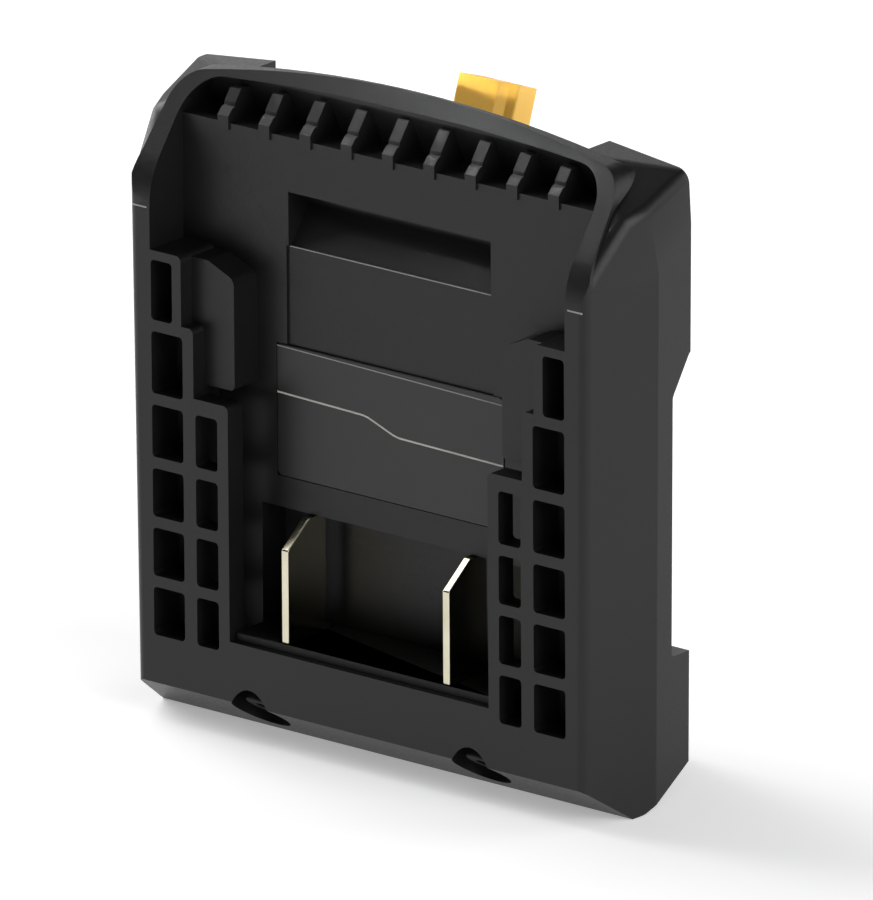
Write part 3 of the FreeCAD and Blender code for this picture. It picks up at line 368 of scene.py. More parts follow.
def finish_modifiers(piece: Object) -> None:
    """Applies every modifier of a piece and keeps its material.

    Args:
        piece: The object whose modifiers become its mesh.
    """
    material = piece.data.materials[0]
    graph = bpy.context.evaluated_depsgraph_get()
    graph.update()
    mesh = bpy.data.meshes.new_from_object(piece.evaluated_get(graph),
                                           preserve_all_data_layers=True, depsgraph=graph)
    piece.modifiers.clear()
    piece.data = mesh
    mesh.name = piece.name
    mesh.materials.clear()
    mesh.materials.append(material)


def declare(piece: Object, replaced: tuple[str, ...] = ()) -> None:
    """Tells the frame what a piece rides on and what it stands for.

    Args:
        piece: The finished piece.
        replaced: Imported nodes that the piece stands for.
    """
    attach(piece, BODY)
    if replaced:
        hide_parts(*replaced)
    LOG.info("%s: %d faces%s", piece.name, len(piece.data.polygons),
             ", stands for " + ", ".join(replaced) if replaced else "")


def circle(radius: float, height: float, columns: int) -> Ring:
    """A ring of points round the Z axis, in millimetres.

    Args:
        radius: Radius of the ring.
        height: Height of the ring.
        columns: Number of points.

    Returns:
        The ring's points.
    """
    angles = [2 * pi * index / columns for index in range(columns)]
    return [Vector((radius * cos(angle), radius * sin(angle), height)) for angle in angles]


def smooth_mesh(name: str, work: bmesh.types.BMesh, sharp_degrees: float) -> Mesh:
    """Turns a worked mesh's faces outwards and shades it smooth between its sharp edges.

    Args:
        name: Name of the mesh.
        work: The worked mesh, which is used up.
        sharp_degrees: Least turn between faces that stays sharp.

    Returns:
        The finished mesh.
    """
    bmesh.ops.recalc_face_normals(work, faces=work.faces)
    mesh = bpy.data.meshes.new(name)
    work.to_mesh(mesh)
    work.free()
    mesh.shade_smooth()
    mesh.set_sharp_from_angle(angle=radians(sharp_degrees))
    return mesh


def ring_mesh(name: str, rings: list[Ring]) -> Mesh:
    """Joins rings of points to one closed skin; a ring of one point closes an end.

    Args:
        name: Name of the mesh.
        rings: Rings in millimetres, from one end to the other.

    Returns:
        A smooth mesh with its faces outwards, in metres.
    """
    work = bmesh.new()
    rows = [[work.verts.new(point * MM) for point in ring] for ring in rings]
    for low, high in zip(rows, rows[1:]):
        count = max(len(low), len(high))
        for index in range(count):
            following = (index + 1) % count
            corners = [low[index % len(low)], low[following % len(low)],
                       high[following % len(high)], high[index % len(high)]]
            work.faces.new(list(dict.fromkeys(corners)))
    return smooth_mesh(name, work, sharp_degrees=32.0)


def turned_mesh(name: str, profile: Profile, top: float, columns: int) -> Mesh:
    """Turns a closed body round the Z axis, from a foot at height nought.

    Args:
        name: Name of the mesh.
        profile: Radius and height of each ring, from the foot up.
        top: Height of the last point, on the axis.
        columns: Number of points round the body.

    Returns:
        The mesh in metres.
    """
    rings = [circle(radius, height, columns) for radius, height in profile]
    return ring_mesh(name, [[Vector((0.0, 0.0, 0.0))], *rings, [Vector((0.0, 0.0, top))]])


def box_mesh(name: str, boxes: list[tuple[Point | Vector, Point | Vector]], edge: float) -> Mesh:
    """Makes softened boxes from their opposite corners, in millimetres.

    Args:
        name: Name of the mesh.
        boxes: Least and greatest corner of each box.
        edge: Width of the softened edges.

    Returns:
        The mesh in metres.
    """
    work = bmesh.new()
    for low, high in boxes:
        middle = (Vector(low) + Vector(high)) * 0.5 * MM
        size = (Vector(high) - Vector(low)) * MM
        made = bmesh.ops.create_cube(work, size=1.0, matrix=Matrix.LocRotScale(middle, None, size))
        edges = list({line for corner in made["verts"] for line in corner.link_edges})
        bmesh.ops.bevel(work, geom=edges, offset=edge * MM, segments=2, affect="EDGES", profile=0.5)
    return smooth_mesh(name, work, sharp_degrees=40.0)


@dataclass(frozen=True)
class EdgeRounding:
    """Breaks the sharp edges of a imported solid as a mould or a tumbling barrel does.

    Attributes:
        width_mm: Width of the rounding.
        segments: Number of faces across it.
        crease_degrees: Least turn between faces that counts as an edge.
        weld_mm: Distance under which two corners are one.
        flat_degrees: Largest turn between triangles of one flat face.
    """

    width_mm: float
    segments: int
    crease_degrees: float = 28.0
    weld_mm: float = 0.0005
    flat_degrees: float = 0.4

    def merged_mesh(self, node: Object) -> Mesh:
        """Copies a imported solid's triangles and joins the flat ones to whole faces.

        Args:
            node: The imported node, which stays as it is.

        Returns:
            A closed mesh of large flat faces.
        """
        mesh = node.data.copy()
        work = bmesh.new()
        work.from_mesh(mesh)
        bmesh.ops.remove_doubles(work, verts=work.verts, dist=self.weld_mm * MM)
        bmesh.ops.dissolve_limit(work, angle_limit=radians(self.flat_degrees),
                                 use_dissolve_boundaries=False, verts=work.verts,
                                 edges=work.edges, delimit=set())
        work.to_mesh(mesh)
        work.free()
        if "custom_normal" in mesh.attributes:
            mesh.attributes.remove(mesh.attributes["custom_normal"])
        return mesh

    def rounded(self, node: Object, name: str, finish: Finish) -> Object:
        """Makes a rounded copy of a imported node.

        Args:
            node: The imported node.
            name: Name of the new piece.
            finish: Its finish.

        Returns:
            The rounded piece, with its modifiers applied.
        """
        piece = new_piece(name, self.merged_mesh(node), finish)
        piece.data.shade_smooth()
        bevel = piece.modifiers.new("edge_rounding", "BEVEL")
        bevel.width = self.width_mm * MM
        bevel.segments = self.segments
        bevel.limit_method = "ANGLE"
        bevel.angle_limit = radians(self.crease_degrees)
        normals = piece.modifiers.new("flat_faces_first", "WEIGHTED_NORMAL")
        normals.keep_sharp = True
        triangles = piece.modifiers.new("triangles", "TRIANGULATE")
        triangles.keep_custom_normals = True
        finish_modifiers(piece)
        return piece


# Node trees for what repeats or follows a path


class GrowthTree:
    """A geometry node tree with named inputs, run once on a carrier and then baked to a mesh."""

    def __init__(self, name: str, sockets: dict[str, str]) -> None:
        """Starts a tree with a geometry input and output.

        Args:
            name: Name of the tree.
            sockets: Name and kind of each further input.
        """
        self.tree = bpy.data.node_groups.new(name, "GeometryNodeTree")
        self.tree.interface.new_socket("Geometry", in_out="OUTPUT",
                                       socket_type="NodeSocketGeometry")
        self.identifiers: dict[str, str] = {}
        for label, kind in {"Geometry": "Geometry", **sockets}.items():
            item = self.tree.interface.new_socket(label, in_out="INPUT",
                                                  socket_type="NodeSocket" + kind)
            self.identifiers[label] = item.identifier
        self.node = partial(add_node, self.tree)
        self.source = self.node("NodeGroupInput")

    def close(self, geometry: Node, finish: Finish) -> None:
        """Ends the tree by making the instances real and giving them their finish.

        Args:
            geometry: The node that makes the geometry.
            finish: Its finish.
        """
        real = self.node("GeometryNodeRealizeInstances", None, {"Geometry": geometry})
        dressed = self.node("GeometryNodeSetMaterial", None,
                            {"Geometry": real, "Material": finish.material})
        self.node("NodeGroupOutput", None, {"Geometry": dressed})

    def grow(self, carrier: Object, values: dict[str, object]) -> None:
        """Runs the tree on a carrier and keeps the result as the carrier's plain mesh.

        Args:
            carrier: Object whose mesh holds the places or the path.
            values: A value for each named input.
        """
        modifier = carrier.modifiers.new("growth", "NODES")
        modifier.node_group = self.tree
        for label, value in values.items():
            modifier[self.identifiers[label]] = value
        carrier.update_tag()
        finish_modifiers(carrier)


@dataclass(frozen=True)
class Spot:
    """Where one copy stands, and how far it is turned about the common axis.

    Attributes:
        point: Place in millimetres, as X, depth and height.
        turn: Turn about the axis in degrees.
    """

    point: Point
    turn: float = 0.0


def repeat_copies(name: str, copy: Mesh, spots: list[Spot], axis: Vector, finish: Finish,
                  replaced: tuple[str, ...] = (), loosen: float = 0.0, seed: int = 1) -> None:
    """Sets one mesh out on several spots with a geometry node tree, as one plain piece.

    Args:
        name: Name of the new piece.
        copy: The mesh to repeat, made round the Z axis.
        spots: Where the copies stand.
        axis: Direction that the copy's Z axis takes.
        finish: Finish of all copies.
        replaced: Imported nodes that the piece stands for.
        loosen: Largest random turn either way, in degrees.
        seed: Seed of the random turns.
    """
    growth = GrowthTree(name + "_tree", {"Copy": "Object", "Axis": "Vector", "Size": "Float",
                                         "Loosen": "Float", "Seed": "Int"})
    given = growth.source.outputs
    shape = growth.node("GeometryNodeObjectInfo", {"transform_space": "ORIGINAL"},
                        {"Object": given["Copy"]})
    turn = growth.node("GeometryNodeInputNamedAttribute", {"data_type": "FLOAT"}, {"Name": "turn"})
    least = growth.node("ShaderNodeMath", {"operation": "MULTIPLY"}, {0: given["Loosen"], 1: -1.0})
    stray = growth.node("FunctionNodeRandomValue", {"data_type": "FLOAT"},
                        {2: least, 3: given["Loosen"], "Seed": given["Seed"]})
    total = growth.node("ShaderNodeMath", {"operation": "ADD"}, {0: turn, 1: stray.outputs[1]})
    angle = growth.node("ShaderNodeMath", {"operation": "RADIANS"}, {0: total})
    spin = growth.node("FunctionNodeAxisAngleToRotation", None,
                       {"Axis": (0.0, 0.0, 1.0), "Angle": angle})
    aimed = growth.node("FunctionNodeAlignRotationToVector", {"axis": "Z"},
                        {"Vector": given["Axis"]})
    pose = growth.node("FunctionNodeRotateRotation", {"rotation_space": "LOCAL"},
                       {"Rotation": aimed, "Rotate By": spin})
    copies = growth.node("GeometryNodeInstanceOnPoints", None,
                         {"Points": given["Geometry"], "Instance": shape.outputs["Geometry"],
                          "Rotation": pose, "Scale": given["Size"]})
    growth.close(copies, finish)

    places = bpy.data.meshes.new(name)
    places.from_pydata([place(*spot.point) for spot in spots], [], [])
    turns = places.attributes.new("turn", "FLOAT", "POINT")
    for index, spot in enumerate(spots):
        turns.data[index].value = spot.turn
    carrier = new_piece(name, places, finish)
    template = new_piece(name + "_template", copy, finish)
    growth.grow(carrier, {"Copy": template, "Axis": axis, "Size": 1.0, "Loosen": loosen,
                          "Seed": seed})
    bpy.data.objects.remove(template)
    declare(carrier, replaced)


def bead_on_paths(name: str, paths: list[list[Point]], width: float, thickness: float,
                  corner: float, finish: Finish) -> None:
    """Lays a flat bead along paths with a geometry node tree, as one plain piece.

    Args:
        name: Name of the new piece.
        paths: Points of each path in millimetres, as X, depth and height.
        width: Width of the bead in the plane of the front.
        thickness: Thickness of the bead from front to back.
        corner: Radius that rounds the path's corners.
        finish: Its finish.
    """
    growth = GrowthTree(name + "_tree", {"Width": "Float", "Thickness": "Float", "Corner": "Float"})
    given = growth.source.outputs
    line = growth.node("GeometryNodeMeshToCurve", None, {"Mesh": given["Geometry"]})
    soft = growth.node("GeometryNodeFilletCurve", {"mode": "POLY"},
                       {"Curve": line, "Radius": given["Corner"], "Count": 8, "Limit Radius": True})
    level = growth.node("GeometryNodeSetCurveNormal", {"mode": "Z_UP"}, {"Curve": soft})
    section = growth.node("GeometryNodeCurvePrimitiveQuadrilateral", {"mode": "RECTANGLE"},
                          {"Width": given["Thickness"], "Height": given["Width"]})
    bead = growth.node("GeometryNodeCurveToMesh", None,
                       {"Curve": level, "Profile Curve": section, "Fill Caps": True})
    growth.close(bead, finish)

    points: list[Vector] = []
    edges: list[tuple[int, int]] = []
    for path in paths:
        first = len(points)
        points += [place(*point) for point in path]
        edges += [(index, index + 1) for index in range(first, len(points) - 1)]
    mesh = bpy.data.meshes.new(name)
    mesh.from_pydata(points, edges, [])
    carrier = new_piece(name, mesh, finish)
    growth.grow(carrier, {"Width": width * MM, "Thickness": thickness * MM, "Corner": corner * MM})
    declare(carrier)


# The object's sub-assemblies


@dataclass
class SubAssembly:
    """Pieces that belong together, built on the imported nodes.

    Attributes:
        nodes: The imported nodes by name.
    """

    nodes: Nodes

    def dress(self, name: str, ending: str, rounding: EdgeRounding, finish: Finish) -> None:
        """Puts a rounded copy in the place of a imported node.

        Args:
            name: Name of the node.
            ending: What the copy's name adds to it.
            rounding: How the copy's edges are broken.
            finish: The copy's finish.
        """
        declare(rounding.rounded(self.nodes[name], name + ending, finish), (name,))


@dataclass
class Casing(SubAssembly):
    """Front shell and rear cover, with softened moulded edges and the seams of their mould.

    The seams are two short raised ticks beside the bend, as X and depth on the right side, painted
    pale as a highlight. The ledge is a pale bead along the lower edge of the latch pocket, a
    painted highlight.
    """

    shell_rounding: EdgeRounding = EdgeRounding(0.4, 3, 24.0)
    cover_rounding: EdgeRounding = EdgeRounding(0.5, 3, 24.0)
    seam_height: float = 74.5
    seam_width: float = 0.24
    seam_thickness: float = 0.12
    seam_points: Profile = ((37.2, 0.06), (39.75, 0.06))
    seam_corner: float = 0.5
    ledge_x: float = 17.8
    ledge_depth: float = 7.6
    ledge_height: float = 70.85
    ledge_width: float = 0.13

    def build(self) -> None:
        """Builds both mouldings, the seams and the ledge's edge, the last two painted pale as
        highlights.
        """
        black, pale_highlight = Finishes.abs_black, Finishes.abs_rubbed
        self.dress("front_shell", "_moulding", self.shell_rounding, black)
        self.dress("rear_cover", "_moulding", self.cover_rounding, black)
        # The raised seams are real; their pale finish is a painted highlight.
        paths = [[(side * x, depth, self.seam_height) for x, depth in self.seam_points]
                 for side in LEFT_AND_RIGHT]
        bead_on_paths("mould_seams", paths, self.seam_width, self.seam_thickness,
                      self.seam_corner, pale_highlight)
        # A pale bead that paints the highlight on the pocket's lower edge.
        ledge = [(side * self.ledge_x, self.ledge_depth, self.ledge_height)
                 for side in LEFT_AND_RIGHT]
        bead_on_paths("pocket_edge", [ledge], self.ledge_width, self.ledge_width, 0.0, pale_highlight)


@dataclass
class Label(SubAssembly):
    """The bare label, its printed divider and a pale line along its upper edge that is a painted
    highlight, the lines as X and height.
    """

    rounding: EdgeRounding = EdgeRounding(0.12, 2, 30.0)
    face_depth: float = 7.2
    divider: Profile = ((-20.0, 49.48), (-4.3, 49.1), (1.1, 47.05), (20.0, 46.75))
    divider_corner: float = 6.0
    divider_width: float = 0.27
    divider_thickness: float = 0.06
    top_edge: Profile = ((-20.0, 56.2), (20.0, 55.5))
    edge_width: float = 0.16
    edge_thickness: float = 0.08

    def build(self) -> None:
        """Builds the film, the divider and the pale line along the upper edge, a painted highlight.
        """
        self.dress("label_plate", "_film", self.rounding, Finishes.label_film)
        for name, line, width, thickness, corner, finish in (
            ("label_divider", self.divider, self.divider_width, self.divider_thickness,
             self.divider_corner, Finishes.ink),
            # The pale line along the upper edge paints its highlight.
            ("label_cut_edge", self.top_edge, self.edge_width, self.edge_thickness, 0.0,
             Finishes.film_core),
        ):
            path = [(x, self.face_depth, height) for x, height in line]
            bead_on_paths(name, [path], width, thickness, corner, finish)


@dataclass
class Terminals(SubAssembly):
    """The blade terminals and the block that they stand in."""

    blade_rounding: EdgeRounding = EdgeRounding(0.16, 3)
    block_rounding: EdgeRounding = EdgeRounding(0.25, 2)

    def build(self) -> None:
        """Builds both blades and the block."""
        for pole in ("positive", "negative"):
            self.dress("terminal_blade_" + pole, "_stamping", self.blade_rounding, Finishes.nickel)
        # The block's darker nylon also paints the shade on its front face above the lip.
        self.dress("terminal_block", "_moulding", self.block_rounding, Finishes.nylon_black)


@dataclass
class PowerConnector(SubAssembly):
    """The keyed connector, its contacts and its clamp."""

    housing_rounding: EdgeRounding = EdgeRounding(0.22, 3)
    contact_rounding: EdgeRounding = EdgeRounding(0.15, 2, 40.0)
    clamp_rounding: EdgeRounding = EdgeRounding(0.3, 2)

    def build(self) -> None:
        """Builds the housing, both contacts and the clamp."""
        self.dress("connector_housing", "_moulding", self.housing_rounding, Finishes.nylon_yellow)
        for pole in ("positive", "negative"):
            self.dress("connector_contact_" + pole, "_turning", self.contact_rounding,
                       Finishes.brass)
        self.dress("connector_clamp", "_moulding", self.clamp_rounding, Finishes.nylon_black)


class Head(Enum):
    """How a screw's head meets the surface."""

    PAN = "pan"
    FLUSH = "flush"


@dataclass(frozen=True)
class Screw:
    """A screw with a six-sided drive and a rolled thread, round the Z axis with its tip along +Z.

    Attributes:
        head: The form of the head.
        length: Length under a pan head, or of the whole flush screw.
        head_radius: Radius of the head.
        head_height: Height of a pan head.
        cone_height: Height of a flush head's cone.
        shank_radius: Outer radius of the thread.
        thread_pitch: Distance between two turns of the thread.
        thread_depth: Height of the thread's ridge.
        thread_fade: Length over which the thread starts and ends.
        thread_rows: Number of rings to one turn of the thread.
        ridge_slope: How steeply the ridge rises; the more, the narrower it is.
        tip_length: Length of the plain tapered tip.
        tip_share: Radius of the tip's end as a share of the core's.
        socket_radius: Radius over the corners of the drive socket.
        socket_depth: Depth of the drive socket.
        drill_depth: Depth of the point below the socket.
        edge: Rounding of a pan head's rim.
        chamfer: Width of the small chamfers.
        columns: Number of points round the screw.
    """

    head: Head
    length: float
    head_radius: float = 2.8
    head_height: float = 1.9
    cone_height: float = 1.5
    shank_radius: float = 1.45
    thread_pitch: float = 1.0
    thread_depth: float = 0.28
    thread_fade: float = 0.6
    thread_rows: int = 8
    ridge_slope: float = 3.2
    tip_length: float = 0.5
    tip_share: float = 0.6
    socket_radius: float = 1.25
    socket_depth: float = 1.1
    drill_depth: float = 0.25
    edge: float = 0.35
    chamfer: float = 0.1
    columns: int = 36

    @property
    def core(self) -> float:
        """Radius of the shank between the thread's ridges."""
        return self.shank_radius - self.thread_depth

    def socket_ring(self, grow: float, height: float) -> Ring:
        """One six-sided ring of the drive socket.

        Args:
            grow: How far the ring stands outside the socket.
            height: Height of the ring.

        Returns:
            The ring's points.
        """
        flat = self.socket_radius * cos(pi / 6)
        ring = []
        for point in circle(1.0, height, self.columns):
            angle = atan2(point.y, point.x) % (pi / 3) - pi / 6
            reach = flat / cos(angle) + grow
            ring.append(Vector((point.x * reach, point.y * reach, height)))
        return ring

    def head_rings(self, top: float) -> list[Ring]:
        """The head from the socket's mouth over its rim to the shank.

        Args:
            top: Height of the head's face.

        Returns:
            The rings in order.
        """
        if self.head is Head.FLUSH:
            sides = [(self.head_radius - self.chamfer, 0.0), (self.head_radius, self.chamfer),
                     (self.core, self.cone_height)]
        else:
            turns = [pi / 2 * step / 4 for step in range(5)]
            sides = [(self.head_radius - self.edge * (1 - sin(turn)),
                      top + self.edge * (1 - cos(turn))) for turn in turns]
            sides += [(self.head_radius, -self.chamfer), (self.head_radius - self.chamfer, 0.0),
                      (self.core, 0.0)]
        mouth = [self.socket_ring(0.0, top + self.chamfer), self.socket_ring(self.chamfer, top)]
        return mouth + [circle(radius, height, self.columns) for radius, height in sides]

    def thread_rings(self, start: float) -> list[Ring]:
        """The thread as rings whose radius follows a helix, fading out at both ends.

        Args:
            start: Height where the shank begins.

        Returns:
            The rings in order.
        """
        end = self.length - self.tip_length
        count = round((end - start) / self.thread_pitch * self.thread_rows)
        rings = []
        for row in range(1, count):
            height = start + (end - start) * row / count
            fade = min(1.0, (height - start) / self.thread_fade, (end - height) / self.thread_fade)
            ring = []
            for index, point in enumerate(circle(1.0, height, self.columns)):
                phase = (height / self.thread_pitch + index / self.columns) % 1.0
                ridge = max(0.0, 1.0 - abs(phase - 0.5) * self.ridge_slope)
                reach = self.core + self.thread_depth * fade * ridge
                ring.append(Vector((point.x * reach, point.y * reach, height)))
            rings.append(ring)
        return rings

    def mesh(self, name: str) -> Mesh:
        """Builds the screw's closed skin.

        Args:
            name: Name of the mesh.

        Returns:
            The mesh in metres.
        """
        flush = self.head is Head.FLUSH
        top = 0.0 if flush else -self.head_height
        floor = top + self.socket_depth
        rings = [[Vector((0.0, 0.0, floor + self.drill_depth))],
                 self.socket_ring(-self.chamfer / 2, floor)]
        rings += self.head_rings(top) + self.thread_rings(self.cone_height if flush else 0.0)
        rings += [circle(self.core, self.length - self.tip_length, self.columns),
                  circle(self.core * self.tip_share, self.length, self.columns),
                  [Vector((0.0, 0.0, self.length))]]
        return ring_mesh(name, rings)


@dataclass(frozen=True)
class ScrewSet:
    """Screws of one kind that stand alike on the left and on the right.

    Attributes:
        name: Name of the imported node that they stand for.
        head: The form of their heads.
        length: Their length.
        x: Their distance from the middle plane.
        depth: Depth of their seats.
        heights: Height of each screw of one side.
        axis: Direction that they are driven in.
        finish: Their finish.
    """

    name: str
    head: Head
    length: float
    x: float
    depth: float
    heights: tuple[float, ...]
    axis: Vector
    finish: Finish


@dataclass
class Fasteners(SubAssembly):
    """The four sets of screws, each screw turned a little at random about its axis."""

    sets: tuple[ScrewSet, ...] = (
        ScrewSet("case_screws", Head.FLUSH, 7.0, 32.4, 18.9, (15.6, 45.6, 79.2), FORWARD,
                 Finishes.zinc),
        ScrewSet("lip_screws", Head.PAN, 5.9, 19.6, 4.256, (6.305,),
                 Vector((0.0, 0.5687, 0.8226)), Finishes.black_oxide),
        ScrewSet("clamp_screws", Head.PAN, 6.0, 10.0, 25.525, (76.275,),
                 Vector((0.0, 0.3338, 0.9426)), Finishes.zinc),
        ScrewSet("board_screws", Head.PAN, 5.0, 16.4, 26.0, (29.197, 65.997), BACKWARD,
                 Finishes.zinc),
    )
    loosen_degrees: float = 30.0

    def build(self) -> None:
        """Builds the four sets."""
        for kind in self.sets:
            spots = [Spot((side * kind.x, kind.depth, z))
                     for side in LEFT_AND_RIGHT for z in kind.heights]
            screw = Screw(kind.head, kind.length).mesh(kind.name)
            repeat_copies(kind.name + "_threaded", screw, spots, kind.axis, kind.finish,
                          (kind.name,), self.loosen_degrees, seed=len(spots))


@dataclass
class CircuitBoard(SubAssembly):
    """The small parts of the board: legs, caps, solder joints and the capacitor's can.

    Profiles give radius and height. Boxes give the left, the right, the lower and the upper side.
    """

    front: float = 26.0
    back: float = 27.6
    body_rounding: EdgeRounding = EdgeRounding(0.18, 2)
    can_x: float = -13.0
    can_foot: float = 43.6
    can_radius: float = 4.0
    can_profile: Profile = (
        (3.1, 0.0), (3.75, 0.0), (4.0, 0.25), (4.0, 1.0), (3.65, 1.5), (4.0, 2.0), (4.0, 11.65),
        (3.88, 11.9), (3.6, 12.0), (3.2, 12.0), (3.15, 11.85))
    can_top: float = 11.85
    pads: Profile = ((-11.5, 33.1), (11.5, 33.1), (-6.5, 55.1), (6.5, 55.1))
    fillet_profile: Profile = ((2.1, 0.0), (1.95, 0.25), (1.7, 0.5), (1.5, 0.85), (1.42, 1.2))
    fillet_top: float = 1.25
    dome_profile: Profile = ((1.5, 0.0), (1.3, 0.3), (0.8, 0.6), (0.3, 0.72))
    dome_top: float = 0.75
    chip_sides: tuple[float, ...] = (1.0, -4.0)
    chip_rows: tuple[float, ...] = (47.0, 48.07, 49.13, 50.2)
    chip_leg: Boxes = (
        ((-0.1, -0.2, 0.62), (0.42, 0.2, 0.8)), ((0.3, -0.2, 0.05), (0.5, 0.2, 0.8)),
        ((0.3, -0.2, 0.0), (0.95, 0.2, 0.18)))
    chip_leg_edge: float = 0.04
    switch_columns: tuple[float, ...] = (3.9, 6.0, 8.1, 12.9, 15.0, 17.1)
    switch_foot: float = 34.5
    switch_leg: Boxes = (
        ((-0.4, -0.9, 0.9), (0.4, 0.1, 1.3)), ((-0.4, -1.1, 0.1), (0.4, -0.7, 1.3)),
        ((-0.4, -2.0, 0.0), (0.4, -0.7, 0.4)))
    switch_leg_edge: float = 0.06
    fuse_box: Sides = (5.5, 15.5, 47.4, 51.8)
    fuse_thickness: float = 3.6
    fuse_cap: float = 2.0
    shunt_box: Sides = (-4.7, 1.7, 36.0, 39.2)
    shunt_thickness: float = 1.0
    shunt_cap: float = 1.0
    cap_lap: float = 0.06
    cap_edge: float = 0.12

    def build(self) -> None:
        """Builds the bodies, the can, the legs, the end caps and the solder joints."""
        for name, finish in (
            ("power_switches", Finishes.epoxy), ("controller_chip", Finishes.epoxy),
            ("main_fuse", Finishes.ceramic), ("shunt_resistor", Finishes.epoxy),
        ):
            self.dress(name, "_bodies", self.body_rounding, finish)
        self.can()
        self.legs()
        self.end_caps()
        self.joints()

    def can(self) -> None:
        """Turns the capacitor's sleeved can, with its crimp groove near the foot."""
        name = "filter_capacitor_can"
        foot = Spot((self.can_x, self.front - self.can_radius, self.can_foot))
        repeat_copies(name, turned_mesh(name, self.can_profile, self.can_top, columns=40), [foot],
                      UPWARD, Finishes.can_sleeve, ("filter_capacitor",))

    def legs(self) -> None:
        """Sets out the bent legs of the chip, on both its sides, and of the switches."""
        chip_spots = [Spot((x, self.front, z), 180.0 if side else 0.0)
                      for side, x in enumerate(self.chip_sides) for z in self.chip_rows]
        switch_spots = [Spot((x, self.front, self.switch_foot)) for x in self.switch_columns]
        for name, leg, edge, spots in (
            ("chip_leg", self.chip_leg, self.chip_leg_edge, chip_spots),
            ("switch_leg", self.switch_leg, self.switch_leg_edge, switch_spots),
        ):
            repeat_copies(name + "s", box_mesh(name, leg, edge), spots, FORWARD, Finishes.solder)

    def end_caps(self) -> None:
        """Laps tinned caps over the ends of the fuse and of the shunt."""
        boxes = []
        lap = self.cap_lap
        for (left, right, low, high), thickness, reach in (
            (self.fuse_box, self.fuse_thickness, self.fuse_cap),
            (self.shunt_box, self.shunt_thickness, self.shunt_cap),
        ):
            for start, end in ((left - lap, left + reach), (right - reach, right + lap)):
                near = place(start, self.front - thickness - lap, low - lap)
                boxes.append((near / MM, place(end, self.front, high + lap) / MM))
        caps = box_mesh("end_caps", boxes, self.cap_edge)
        declare(new_piece("end_caps", caps, Finishes.solder))

    def joints(self) -> None:
        """Flows solder round each lead, on both faces of the board."""
        for name, profile, top, columns, depth, axis in (
            ("solder_fillet", self.fillet_profile, self.fillet_top, 28, self.front, FORWARD),
            ("solder_dome", self.dome_profile, self.dome_top, 24, self.back, BACKWARD),
        ):
            spots = [Spot((x, depth, z)) for x, z in self.pads]
            repeat_copies(name + "s", turned_mesh(name, profile, top, columns), spots, axis,
                          Finishes.solder)


# The studio


@dataclass(frozen=True)
class Lamp:
    """One square lamp, given by where it stands round the object.

    Attributes:
        name: Name of the lamp.
        azimuth: Degrees round from the front, positive towards the object's right.
        elevation: Degrees up.
        size: Side of the lamp in metres.
        power: Watts.
        distance: Metres from the aim.
        aim: Point that the lamp looks at, by default the middle of the object.
        spread: Full angle of the beam in degrees.
    """

    name: str
    azimuth: float
    elevation: float
    size: float
    power: float
    distance: float = 2.0
    aim: Point = (0.0, 0.0, 0.045)
    spread: float = 180.0

    def hang(self) -> None:
        """Adds the lamp to the scene."""
        lamp = bpy.data.lights.new(self.name, "AREA")
        lamp.size = self.size
        lamp.energy = self.power
        lamp.spread = radians(self.spread)
        around, up = radians(self.azimuth), radians(self.elevation)
        toward = Vector((sin(around) * cos(up), -cos(around) * cos(up), sin(up)))
        item = bpy.data.objects.new(self.name, lamp)
        item.location = Vector(self.aim) + toward * self.distance
        item.rotation_euler = toward.to_track_quat("Z", "Y").to_euler()
        bpy.context.scene.collection.objects.link(item)


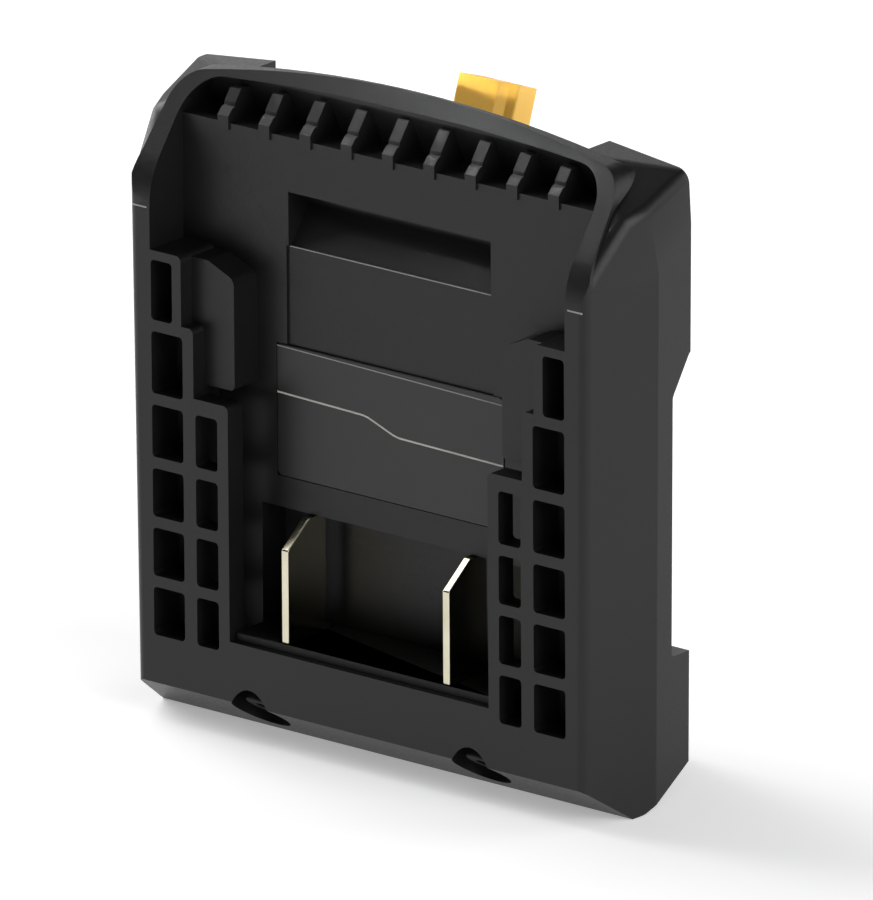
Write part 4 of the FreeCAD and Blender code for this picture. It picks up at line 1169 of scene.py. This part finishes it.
@dataclass
class Studio:
    """Plain pale floor, soft lights and the camera of the photograph.

    Attributes:
        floor_half: Half the side of the floor in metres.
        floor_glow: Light that the floor gives off, which lifts the bottom chamfer.
        sky_strength: Strength of the even light from all round.
        lamps: The lamps; the last two are snooted, and pick out the hood's rim and the connector.
        yaw: Degrees that the camera is turned to the left.
        pitch: Degrees that it looks down.
        roll: Degrees that it is tilted.
        camera_place: Where it stands, in metres.
        focal_pixels: Its focal length in pixels of the photograph.
        frame_pixels: The longer side of the photograph.
    """

    floor_half: float = 6.0
    floor_glow: float = 0.34
    sky_strength: float = 0.01
    lamps: tuple[Lamp, ...] = (
        Lamp("left_side_light", -90, 20, 1.3, 25),
        Lamp("left_high_light", -95, 50, 1.2, 15),
        Lamp("left_front_light", -50, 55, 1.0, 1.5),
        Lamp("right_front_light", 60, 35, 1.2, 8),
        Lamp("right_side_light", 85, 20, 1.3, 18),
        Lamp("right_back_light", 140, 20, 1.3, 11),
        Lamp("left_back_light", -141, 20, 1.3, 5.8),
        Lamp("rim_spot", -58, 42, 0.03, 0.0024, 0.7, (0.0, 0.0, 0.125), 6.0),
        Lamp("connector_spot", 15, 12, 0.03, 0.025, 0.7, (0.0, 0.0, 0.125), 5.0),
    )
    yaw: float = 39.237
    pitch: float = 18.34
    roll: float = -0.374
    camera_place: Point = (2.237155, -2.739166, 1.214843)
    focal_pixels: float = 27062.0
    frame_pixels: float = 900.0

    def build(self) -> None:
        """Builds the floor, the sky, the lamps and the camera."""
        self.floor()
        self.sky()
        for lamp in self.lamps:
            lamp.hang()
        self.camera()

    def floor(self) -> None:
        """Lays a wide white floor under the object."""
        half = self.floor_half
        mesh = bpy.data.meshes.new("floor")
        mesh.from_pydata([(-half, -half, 0), (half, -half, 0), (half, half, 0), (-half, half, 0)],
                         [], [(0, 1, 2, 3)])
        # Matt white paint: even and bright, with no grain that shows.
        paint = Finish("white_floor_paint", "stage", "#f6f6f6", "#f2f2f2", mottle=400.0, rough=0.9,
                       grain=30.0, depth=0.0, glow=self.floor_glow)
        new_piece("floor", mesh, paint)

    def sky(self) -> None:
        """Gives a soft even light from all round."""
        world = bpy.data.worlds.new("studio")
        bpy.context.scene.world = world
        world.use_nodes = True
        tree = world.node_tree
        tree.nodes.clear()
        background = add_node(tree, "ShaderNodeBackground", None,
                              {"Color": (1, 1, 1, 1), "Strength": self.sky_strength})
        add_node(tree, "ShaderNodeOutputWorld", None, {"Surface": background})

    def camera(self) -> None:
        """Sets the camera where the photograph's stood."""
        camera = bpy.data.cameras.new("camera")
        camera.sensor_width = 36.0
        camera.lens = self.focal_pixels / self.frame_pixels * camera.sensor_width
        camera.clip_end = 50.0
        item = bpy.data.objects.new("camera", camera)
        item.matrix_world = (Matrix.Translation(self.camera_place)
                             @ Matrix.Rotation(radians(self.yaw), 4, "Z")
                             @ Matrix.Rotation(radians(90.0 - self.pitch), 4, "X")
                             @ Matrix.Rotation(radians(self.roll), 4, "Z"))
        bpy.context.scene.collection.objects.link(item)
        bpy.context.scene.camera = item
        bpy.context.scene.view_settings.view_transform = "Standard"


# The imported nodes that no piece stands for.
KEPT_NODES: dict[str, Finish] = {
    "circuit_board": Finishes.board,
    "battery_lead_positive": Finishes.silicone_red,
    "battery_lead_negative": Finishes.silicone_black,
    "output_lead_positive": Finishes.silicone_red,
    "output_lead_negative": Finishes.silicone_black,
    "lead_sleeves": Finishes.shrink_sleeve,
}


def dress_nodes(nodes: Nodes) -> None:
    """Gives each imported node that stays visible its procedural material.

    Args:
        nodes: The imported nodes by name.
    """
    for name, finish in KEPT_NODES.items():
        for slot in nodes[name].material_slots:
            slot.material = finish.material
        LOG.info("%s dressed in %s", name, finish.name)


def main() -> None:
    """Builds the whole scene."""
    logging.basicConfig(level=logging.INFO, format="%(name)s: %(message)s")
    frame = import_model()
    nodes = frame["nodes"]
    dress_nodes(nodes)
    for assembly in (Casing, Label, Terminals, PowerConnector, Fasteners, CircuitBoard):
        assembly(nodes).build()
    Studio().build()


if __name__ == "__main__":
    main()
